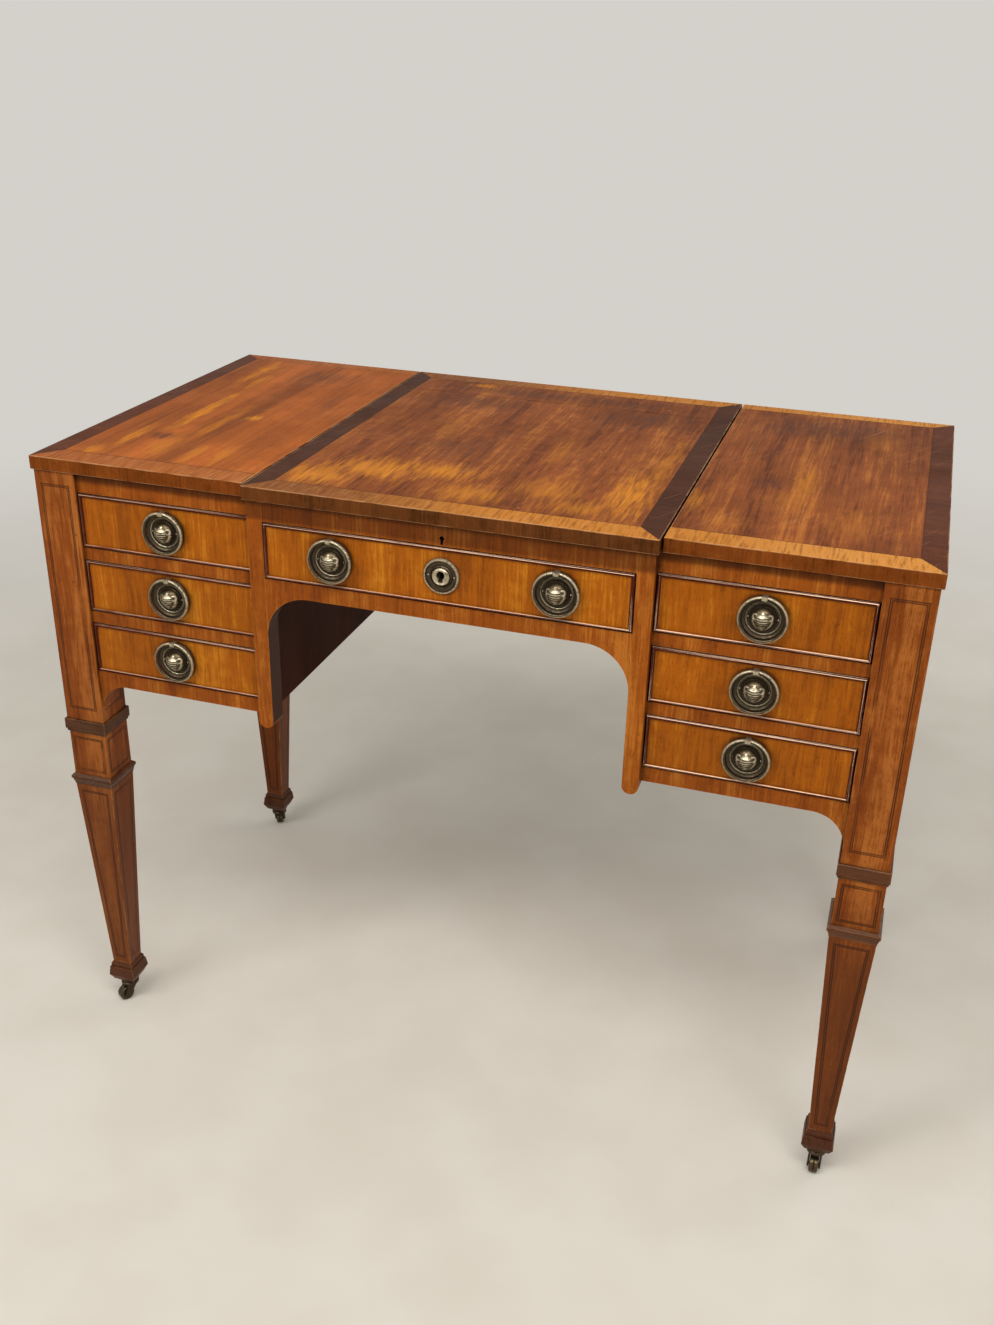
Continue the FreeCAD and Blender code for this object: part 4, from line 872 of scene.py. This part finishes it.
class TABLE_OT_materials(bpy.types.Operator):
    """Make the shared node groups and the timbers and metals"""
    bl_idname = "table.materials"
    bl_label = "Materials"

    def execute(self, context):
        sizes = context.scene.table_sizes
        colours = context.scene.table_colours
        make_grain_group()
        make_string_group()
        make_worn_group()
        make_handling_group()
        make_corner_group()
        make_edge_group()
        make_leg_material(sizes, colours)
        make_bead_material(colours)
        rails = (colours.rail_dark, colours.rail_middle, colours.rail_light)
        drawers = (colours.drawer_dark, colours.drawer_middle, colours.drawer_light)
        panels = (colours.leg_dark, colours.leg_middle, colours.rail_middle)
        low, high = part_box("escutcheon")
        polished_wood("Rail veneer", rails, colours, roughness=0.36, shift=0.31, wear=0.6,
                      reach=0.013, on_front=True)
        polished_wood("Drawer veneer", drawers, colours, roughness=0.32, shift=0.77, wear=0.0,
                      reach=0.013, keyhole=(low + high) / 2)
        polished_wood("Panel timber", panels, colours, roughness=0.42, shift=1.3)
        # Kneehole walls in painted shade
        polished_wood("Shaded kneehole wall", shades(colours.inner), colours, roughness=0.5, wear=0.1,
                      Specular_IOR_Level=0.03)
        polished_wood("Dark moulding", shades(colours.moulding), colours, "X", roughness=0.24,
                      Specular_IOR_Level=0.25)
        polished_wood("Spade foot", shades(colours.foot), colours, roughness=0.34)
        polished_wood("Lining", shades(colours.lining, 0.7, 1.2), colours, "Y", roughness=0.7,
                      wear=0.1)
        polished_wood("Back board", shades(colours.back), colours, roughness=0.65, wear=0.3)
        make_metal("Toned brass", colours.brass, colours.tarnish, 0.32)
        make_metal("Rubbed brass", colours.brass_rubbed, colours.tarnish, 0.42, 1.0, 0.0015)
        make_metal("Dark bronze", colours.bronze, colours.tarnish, 0.40)
        make_metal("Lock steel", screen(150, 148, 142), colours.tarnish, 0.38, 0.8)
        make_mirror()
        return {"FINISHED"}


class TABLE_OT_tops(bpy.types.Operator):
    """Veneer the side tops, the lid and the strip behind it"""
    bl_idname = "table.tops"
    bl_label = "Tops"

    def execute(self, context):
        sizes = context.scene.table_sizes
        colours = context.scene.table_colours
        gold = colours.band_light
        borders = (sizes.side_front_band, sizes.side_rear_band)
        field = (colours.top_dark, colours.top_middle, colours.top_light)
        lid_worn = ((-0.170, -0.202, 0.055, 0.048, 0.9), (-0.115, -0.158, 0.070, 0.052, 0.9),
                    (-0.045, -0.140, 0.060, 0.042, 0.9), (0.010, -0.200, 0.060, 0.040, 0.6),
                    (0.085, -0.160, 0.050, 0.055, 0.5), (0.170, -0.145, 0.034, 0.110, 0.9),
                    (0.130, -0.205, 0.055, 0.035, 0.6), (0.186, -0.020, 0.018, 0.140, 0.55),
                    (-0.119, 0.232, 0.024, 0.012, 0.8), (0.060, -0.020, 0.016, 0.090, 0.3))
        lid_stains = ((-0.060, -0.050, 0.080, 0.055, 0.5), (-0.100, 0.150, 0.100, 0.050, 0.7),
                      (0.120, 0.150, 0.090, 0.060, 0.7), (0.000, 0.215, 0.220, 0.030, 0.8))
        make_top_material("Lid veneer", (LID_BOX[0], STRIP_BOX[1]),
                          (sizes.lid_side_band, sizes.lid_side_band, sizes.lid_front_band,
                           sizes.strip_band), (lid_worn, lid_stains),
                          (field, colours.band_dark, screen(134, 80, 38), gold,
                           colours.lid_edge), sizes, colours)
        left_worn = ((-0.404, -0.020, 0.011, 0.120, 1.0), (-0.428, -0.150, 0.010, 0.065, 0.9),
                     (-0.430, 0.190, 0.012, 0.095, 0.8), (-0.408, 0.140, 0.010, 0.070, 0.6),
                     (-0.330, -0.028, 0.014, 0.016, 1.0), (-0.327, -0.190, 0.012, 0.050, 0.6),
                     (-0.294, -0.180, 0.014, 0.050, 0.5), (-0.360, -0.060, 0.012, 0.110, 0.45),
                     (-0.440, -0.215, 0.020, 0.030, 0.6), (-0.375, -0.170, 0.020, 0.060, 0.5))
        left_stains = ((-0.398, -0.135, 0.026, 0.020, 1.0), (-0.330, 0.190, 0.070, 0.050, 0.6),
                       (-0.270, 0.060, 0.030, 0.090, 0.35))
        make_top_material("Left top veneer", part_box("top_left"),
                          (sizes.side_outer_band, 0.0, *borders), (left_worn, left_stains),
                          (shades(colours.top_warm, 0.62, 1.3), colours.band_side,
                           screen(160, 88, 38), screen(166, 94, 40), colours.top_edge),
                          sizes, colours, stretch=2.6)
        right_worn = ((0.238, -0.135, 0.018, 0.055, 0.5), (0.343, -0.030, 0.016, 0.095, 0.5),
                      (0.330, -0.100, 0.040, 0.040, 0.28), (0.276, -0.190, 0.030, 0.035, 0.3),
                      (0.400, -0.150, 0.040, 0.060, 0.25), (0.415, 0.160, 0.030, 0.050, 0.2))
        right_stains = ((0.300, -0.045, 0.022, 0.026, 0.8), (0.350, 0.190, 0.140, 0.070, 0.8),
                        (0.270, 0.080, 0.020, 0.070, 0.35))
        make_top_material("Right top veneer", TOP_BOX,
                          (0.0, sizes.side_outer_band, *borders), (right_worn, right_stains),
                          (field, colours.band_side, gold, screen(206, 136, 60), colours.top_edge),
                          sizes, colours, stretch=1.6)
        dress_nodes({"Lid veneer": ("lid", "top_rear_strip"), "Left top veneer": ("top_left",),
                     "Right top veneer": ("top_right",)})
        return {"FINISHED"}


class TABLE_OT_case(bpy.types.Operator):
    """Dress the legs, the rails, the panels and the hidden boards"""
    bl_idname = "table.case"
    bl_label = "Case and legs"

    def execute(self, context):
        dress_nodes({
            "Inlaid leg": ("leg_front_left", "leg_front_right", "leg_back_left", "leg_back_right"),
            "Dark moulding": ("leg_mouldings", "mirror_frame"),
            "Spade foot": ("spade_feet",),
            "Rail veneer": ("pedestal_rails", "centre_stiles", "centre_frieze_rail",
                            "kneehole_apron"),
            "Panel timber": ("outer_side_panels",),
            "Shaded kneehole wall": ("kneehole_side_panels",),
            "Lining": ("drawer_runners", "well_floor"),
            "Back board": ("back_panels",),
        })
        return {"FINISHED"}


def drawer_part(place, low, high):
    """Which part of a drawer a face belongs to, from its middle: 0 front, 1 bead, 2 lining."""
    face = low.y + BEAD_PROUD
    back = face + DRAWER_FRONT_DEPTH - SLACK
    bead = BEAD_WIDTH + SLACK
    bead_back = face + BEAD_LET_IN - SLACK
    at_edge = (place.x < low.x + bead or place.x > high.x - bead
               or place.z < low.z + bead or place.z > high.z - bead)
    if place.y < bead_back and at_edge:
        return 1
    if place.y > back:
        return 2
    if place.y > bead_back and (place.x < low.x + SLACK or place.x > high.x - SLACK):
        middle = (low.z + high.z) / 2 - TAIL_DROP
        for side in (-1, 1):
            away = abs(place.z - middle - side * TAIL_PITCH / 2)
            if away < TAIL_ROOT / 2 + (back - place.y) * TAIL_SLOPE:
                return 2
    return 0


class TABLE_OT_drawers(bpy.types.Operator):
    """Give each drawer its front, its beads and its linings"""
    bl_idname = "table.drawers"
    bl_label = "Drawers"

    def execute(self, context):
        names = ["drawer_" + name for name in SIDE_DRAWERS] + ["drawer_centre"]
        for node in names:
            low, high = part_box(node)
            piece = merged_copy(node, node + "_dressed")
            dress(piece, "Drawer veneer", "Bead", "Lining")
            for polygon in piece.data.polygons:
                polygon.material_index = drawer_part(polygon.center, low, high)
            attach(piece, node)
        return {"FINISHED"}


def on_dome(radius, rise, reach, away):
    """How far a low dome stands out at a distance from its middle."""
    ball = (radius * radius + rise * rise) / (2 * rise)
    return reach + rise - ball + math.sqrt(max(0.0, ball * ball - away * away))


def make_urn(place, dome):
    """The banded urn in relief, laid on the dome, with two handles and leaves at its sides."""
    foot_radius, foot_height = URN_STEPS[0]
    bpy.ops.object.select_all(action="DESELECT")
    bpy.ops.mesh.primitive_circle_add(vertices=28, radius=foot_radius, fill_type="NGON",
                                      location=(0, 0, foot_height))
    body = bpy.context.object
    edit(body, "SELECT")
    bpy.ops.mesh.flip_normals()
    draw_out(URN_STEPS, (0, 0, 1))
    bpy.ops.mesh.select_all(action="SELECT")
    bpy.ops.mesh.normals_make_consistent(inside=False)
    leave()
    settle(body, "urn_body")
    pieces = [body]
    for side in (-1, 1):
        bpy.ops.mesh.primitive_torus_add(major_segments=18, minor_segments=6, major_radius=0.0021,
                                         minor_radius=0.0006, location=(side * 0.0059, 0, 0.0026),
                                         rotation=TO_FRONT)
        pieces.append(bpy.context.object)
        for turn, across, drop in URN_LEAVES:
            bpy.ops.mesh.primitive_uv_sphere_add(segments=10, ring_count=6, radius=0.0011)
            leaf = bpy.context.object
            edit(leaf, "SELECT")
            bpy.ops.transform.resize(value=(0.75, 0.9, 1.9))
            leave()
            leaf.rotation_euler = (0, side * math.radians(turn), 0)
            leaf.location = (side * across, 0.0, drop)
            pieces.append(leaf)
    urn = join(pieces, "urn")
    urn.data.transform(Matrix.Scale(URN_GROWTH, 4))
    for vertex in urn.data.vertices:
        away = math.hypot(vertex.co.x, vertex.co.z)
        vertex.co.y = vertex.co.y * URN_FLATNESS - on_dome(*dome, away)
    urn.data.transform(Matrix.Translation(place))
    bpy.ops.object.shade_smooth_by_angle(angle=math.radians(60))
    return urn


def push_out(piece, count, height, chosen, turn_of):
    """Raise every other chosen vertex round a turned piece, to mill it."""
    edit(piece)
    mesh = bmesh.from_edit_mesh(piece.data)
    for vertex in mesh.verts:
        step = round(turn_of(vertex.co) / (2 * math.pi) * count)
        vertex.select = chosen(vertex.co) and step % 2 == 0
    mesh.select_flush(False)
    bmesh.update_edit_mesh(piece.data)
    bpy.ops.transform.shrink_fatten(value=-height)
    leave()


def mill(piece, place, count, height, low, high):
    """Mill a round piece that faces the front, between two radii."""
    def round_place(at):
        return math.atan2(at.z - place.z, at.x - place.x)

    def in_reach(at):
        return low < math.hypot(at.x - place.x, at.z - place.z) < high and at.y < place.y - 0.0009
    push_out(piece, count, height, in_reach, round_place)


def pins(middle, aside, proud):
    """Two round pin heads, one at each side of a plate's middle."""
    made = []
    for side in (-1, 1):
        bpy.ops.mesh.primitive_uv_sphere_add(segments=12, ring_count=8, radius=0.0010,
                                             location=middle + Vector((side * aside, -proud, 0)))
        made.append(bpy.context.object)
    return made


def rod(middle, radius, depth, sides):
    """A round rod that runs from front to back."""
    bpy.ops.mesh.primitive_cylinder_add(vertices=sides, radius=radius, depth=depth,
                                        location=middle, rotation=TO_FRONT)
    return bpy.context.object


def make_pull_plate(sizes, face, centre):
    """A pull's plate with its mouldings, dome, urn, pins, knuckle, post and nut."""
    radius = sizes.plate_radius
    place = Vector((centre.x, face, centre.z))
    dome = (sizes.dome_radius, 0.0086, 0.0028)
    profile = [(radius - 0.0004, 0.0), (radius, 0.0004), (radius, 0.0014),
               (radius - 0.0008, 0.0026), (radius - 0.0024, 0.0029), (radius - 0.0040, 0.0014),
               (0.0182, 0.0011), (0.0178, 0.0021), (0.0170, 0.0028), (0.0162, 0.0021),
               (0.0158, 0.0011), (0.0141, 0.0010), (0.0136, 0.0022), (0.0129, 0.0029)]
    profile += cap_steps(*dome, 9)
    plate = turned(profile, place, sides=120)
    mill(plate, place, 120, 0.0005, 0.0165, 0.0181)
    bpy.ops.object.shade_smooth_by_angle(angle=math.radians(50))
    two_metals(plate, lambda at: 0.0161 < math.hypot(at.x - place.x, at.z - place.z) < 0.0182)
    bright = [make_urn(place, dome), *pins(place, 0.0149, 0.0014)]
    top = centre.z + sizes.ring_radius
    bright.append(bevelled_box((centre.x - 0.0031, face - 0.0094, top - 0.0027),
                               (centre.x + 0.0031, face, top + 0.0016), 0.0008))
    for piece in bright:
        dress(piece, "Rubbed brass")
    post = rod((centre.x, face + 0.0116, top - 0.001), 0.0024, 0.0232, 20)
    nut = bevelled_box((centre.x - 0.0045, face + 0.018, top - 0.0055),
                       (centre.x + 0.0045, face + 0.022, top + 0.0035), 0.0005)
    for piece in (post, nut):
        dress(piece, "Toned brass")
    return join([plate, *bright, post, nut], "pull_plate")


def make_ring(sizes, face, centre):
    """A ring with a milled outer edge, hung plumb from the knuckle."""
    place = Vector((centre.x, face - 0.0065, centre.z))
    bpy.ops.object.select_all(action="DESELECT")
    bpy.ops.mesh.primitive_torus_add(major_segments=2 * RING_TEETH, minor_segments=12,
                                     major_radius=sizes.ring_radius, minor_radius=sizes.ring_wire,
                                     location=place, rotation=TO_FRONT)
    ring = settle(bpy.context.object, "ring")
    edge = sizes.ring_radius + sizes.ring_wire * 0.2

    def on_edge(at):
        return math.hypot(at.x - place.x, at.z - place.z) > edge
    push_out(ring, 2 * RING_TEETH, 0.0007, on_edge,
             lambda at: math.atan2(at.z - place.z, at.x - place.x))
    bpy.ops.object.shade_smooth_by_angle(angle=math.radians(60))
    two_metals(ring, on_edge)
    return ring


def pull_centre(node):
    """The middle of a pull's plate, from its ring's box."""
    low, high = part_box(node)
    return Vector(((low.x + high.x) / 2, 0, low.z + (high.x - low.x) / 2))


class TABLE_OT_pulls(bpy.types.Operator):
    """Make the eight pulls from one plate and one ring"""
    bl_idname = "table.pulls"
    bl_label = "Pulls"

    def execute(self, context):
        sizes = context.scene.table_sizes
        places = [("pull_ring_" + name, "drawer_" + name, "pull_plate_" + name, FACE_Y)
                  for name in SIDE_DRAWERS]
        places += [("pull_ring_centre_" + side, "drawer_centre", "pull_plates_centre",
                    CENTRE_FACE_Y) for side in ("left", "right")]
        start = pull_centre(places[0][0])
        plate = make_pull_plate(sizes, FACE_Y, start)
        ring = make_ring(sizes, FACE_Y, start)
        for ring_node, drawer, plate_node, face in places:
            offset = pull_centre(ring_node) - start + Vector((0, face - FACE_Y, 0))
            name = ring_node.replace("pull_ring_", "")
            new_plate = copied(plate, "plate_" + name, offset)
            new_ring = copied(ring, "ring_" + name, offset)
            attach(new_plate, drawer)
            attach(new_ring, "ring_" + name)
            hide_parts(plate_node)
            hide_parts(ring_node)
        bpy.data.objects.remove(plate)
        bpy.data.objects.remove(ring)
        return {"FINISHED"}


class TABLE_OT_escutcheon(bpy.types.Operator):
    """Make the round keyhole plate with its milled edge"""
    bl_idname = "table.escutcheon"
    bl_label = "Escutcheon"

    def execute(self, context):
        sizes = context.scene.table_sizes
        low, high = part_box("escutcheon")
        centre = Vector((0, CENTRE_FACE_Y, (low.z + high.z) / 2))
        radius = sizes.escutcheon_radius
        profile = [(radius - 0.0004, 0.0), (radius, 0.0005), (radius, 0.0016),
                   (radius - 0.0008, 0.0028), (radius - 0.0024, 0.0028), (radius - 0.0034, 0.0012),
                   (0.0124, 0.0008), (0.0118, 0.0020), (0.0110, 0.0026), (0.0102, 0.0018),
                   (0.0098, 0.0030), (0.0090, 0.0044), (0.0080, 0.0048), (0.0070, 0.0040)]
        plate = turned(profile, centre, sides=120)
        mill(plate, centre, 120, 0.0005, radius - 0.0014, radius + 0.0010)
        eye = rod(centre + Vector((0, 0, 0.0016)), 0.0047, 0.02, 32)
        slot = bevelled_box(centre + Vector((-0.0026, -0.01, -0.0062)),
                            centre + Vector((0.0026, 0.01, 0.0016)), 0.0008)
        cutter = join([eye, slot], "keyhole_cutter")
        bpy.context.view_layer.objects.active = plate
        cut = plate.modifiers.new("keyhole", "BOOLEAN")
        cut.operation = "DIFFERENCE"
        cut.solver = "EXACT"
        cut.use_self = True
        cut.object = cutter
        bpy.ops.object.modifier_apply(modifier="keyhole")
        bpy.data.objects.remove(cutter)

        def is_rubbed(at):
            return not 0.0098 < math.hypot(at.x, at.z - centre.z) < radius - 0.0028
        two_metals(plate, is_rubbed)
        pin_heads = pins(centre, 0.0143, 0.001)
        for pin in pin_heads:
            dress(pin, "Rubbed brass")
        made = join([plate, *pin_heads], "escutcheon_dressed")
        bpy.ops.object.shade_smooth_by_angle(angle=math.radians(50))
        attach(made, "drawer_centre")
        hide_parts("escutcheon")
        return {"FINISHED"}


class TABLE_OT_fittings(bpy.types.Operator):
    """Dress the castors, the lid's fittings, the locks and the mirror"""
    bl_idname = "table.fittings"
    bl_label = "Castors and fittings"

    def execute(self, context):
        corners = ("front_left", "front_right", "back_left", "back_right")
        dress_nodes({
            "Dark bronze": ["castor_plates"] + ["castor_fork_" + corner for corner in corners],
            "Toned brass": ["castor_wheel_" + corner for corner in corners]
                           + ["lid_pivots", "lid_stays", "stay_guides", "lid_strike", "lid_lock",
                              "drawer_lock"],
            "Lock steel": ["drawer_lock_bolt"],
            "Old mirror": ["mirror_glass"],
        })
        return {"FINISHED"}


class TABLE_OT_stage(bpy.types.Operator):
    """Lay the pale floor and set the lamps and the camera"""
    bl_idname = "table.stage"
    bl_label = "Stage"

    def execute(self, context):
        scene = context.scene
        scene.view_settings.view_transform = "Standard"
        self.lay_floor()
        self.set_sky(scene)
        lamps = (("key", (-1.4, -1.9, 2.3), 0.9, 0.9, 16.0),
                 ("ceiling", (0.20, -1.30, 2.4), 2.2, 0.6, 31.0),
                 ("fill", (2.3, -1.7, 1.6), 1.8, 1.8, 10.0),
                 ("back", (1.8, 1.8, 1.6), 1.8, 1.8, 10.0))
        for name, place, width, depth, power in lamps:
            bpy.ops.object.light_add(type="AREA", location=place)
            lamp = bpy.context.object
            lamp.name = name
            lamp.data.shape = "RECTANGLE"
            lamp.data.size = width
            lamp.data.size_y = depth
            lamp.data.energy = power
            toward = Vector((0, 0, 0.5)) - Vector(place)
            lamp.rotation_euler = toward.to_track_quat("-Z", "Y").to_euler()
        self.set_camera(context)
        return {"FINISHED"}

    def lay_floor(self):
        """A wide pale floor that takes the table's shadow and fades evenly into the distance."""
        bpy.ops.object.select_all(action="DESELECT")
        bpy.ops.mesh.primitive_plane_add(size=60.0, location=(0, 0, 0))
        floor = settle(bpy.context.object, "floor")
        tree = blank("Pale floor")
        place = tree.place()
        speckle = tree.noise(place, (6, 6, 6), detail=3.0)
        base = tree.mix(tree.smooth(speckle, 0.3, 0.7), PALE_FLOOR, PALE_FLOOR_LIGHT)
        far = tree.smooth(tree.vector("LENGTH", place, (0, 0, 0)), 0.9, 3.0)
        glow = tree.scaled(far, self.seen(tree))
        base = tree.mix(glow, base, (0.0, 0.0, 0.0))
        finished("Pale floor", base, 0.9, Specular_IOR_Level=0.0, Emission_Color=BACKDROP,
                 Emission_Strength=glow)
        dress(floor, "Pale floor")

    def set_sky(self, scene):
        """An even pale sky, at its own brightness only where a ray looks at it."""
        world = bpy.data.worlds.new("Studio")
        world.use_nodes = True
        scene.world = world
        tree = Tree(world.node_tree)
        seen = self.seen(tree)
        sky = world.node_tree.nodes["Background"]
        tree.join(sky.inputs["Color"], tree.mix(seen, SKY_LIGHT, BACKDROP))
        tree.join(sky.inputs["Strength"], tree.pick(seen, 0.5, 1.0))

    def seen(self, tree):
        """1 for a ray that looks at the backdrop, straight or through a mirror or glass."""
        paths = tree.add("LightPath").outputs
        bounced = tree.sum("MAXIMUM", paths["Is Glossy Ray"], paths["Is Transmission Ray"])
        return tree.sum("MAXIMUM", paths["Is Camera Ray"], bounced)

    def set_camera(self, context):
        """Place the camera where the photograph was taken from."""
        turn = math.radians(CAMERA_TURN)
        drop = math.radians(CAMERA_DROP)
        roll = math.radians(CAMERA_ROLL)
        ahead = Vector((math.sin(turn) * math.cos(drop), math.cos(turn) * math.cos(drop),
                        -math.sin(drop)))
        side = Vector((math.cos(turn), -math.sin(turn), 0))
        above = side.cross(ahead)
        right = side * math.cos(roll) + above * math.sin(roll)
        up = above * math.cos(roll) - side * math.sin(roll)
        place = Vector((CAMERA_X, TOP_BOX[0].y - CAMERA_AWAY, CAMERA_Z))
        data = bpy.data.cameras.new("camera")
        data.sensor_width = 36.0
        data.lens = LENS_PIXELS / FRAME_PIXELS * data.sensor_width
        data.clip_start = 0.05
        camera = bpy.data.objects.new("camera", data)
        context.scene.collection.objects.link(camera)
        columns = Matrix((right, up, -ahead)).transposed().to_4x4()
        camera.matrix_world = Matrix.Translation(place) @ columns
        context.scene.camera = camera


class TABLE_PT_panel(bpy.types.Panel):
    """Lists the table's steps, sizes and colours"""
    bl_idname = "TABLE_PT_panel"
    bl_label = "Dressing table"
    bl_space_type = "VIEW_3D"
    bl_region_type = "UI"
    bl_category = "Table"

    def draw(self, context):
        for operator in OPERATORS:
            self.layout.operator(operator.bl_idname)
        for group in (context.scene.table_sizes, context.scene.table_colours):
            box = self.layout.box()
            for name in group.__annotations__:
                box.prop(group, name)


OPERATORS = (TABLE_OT_materials, TABLE_OT_tops, TABLE_OT_case, TABLE_OT_drawers, TABLE_OT_pulls,
             TABLE_OT_escutcheon, TABLE_OT_fittings, TABLE_OT_stage)
CLASSES = (TableSizes, TableColours, *OPERATORS, TABLE_PT_panel)


def register():
    """Make the classes and the table's settings known."""
    for made in CLASSES:
        bpy.utils.register_class(made)
    bpy.types.Scene.table_sizes = bpy.props.PointerProperty(type=TableSizes)
    bpy.types.Scene.table_colours = bpy.props.PointerProperty(type=TableColours)


def unregister():
    """Take the classes and the settings away again."""
    del bpy.types.Scene.table_colours
    del bpy.types.Scene.table_sizes
    for made in reversed(CLASSES):
        bpy.utils.unregister_class(made)


def main():
    """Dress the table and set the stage."""
    register()
    bpy.ops.table.materials()
    bpy.ops.table.tops()
    bpy.ops.table.case()
    bpy.ops.table.drawers()
    bpy.ops.table.pulls()
    bpy.ops.table.escutcheon()
    bpy.ops.table.fittings()
    bpy.ops.table.stage()


if __name__ == "__main__":
    main()
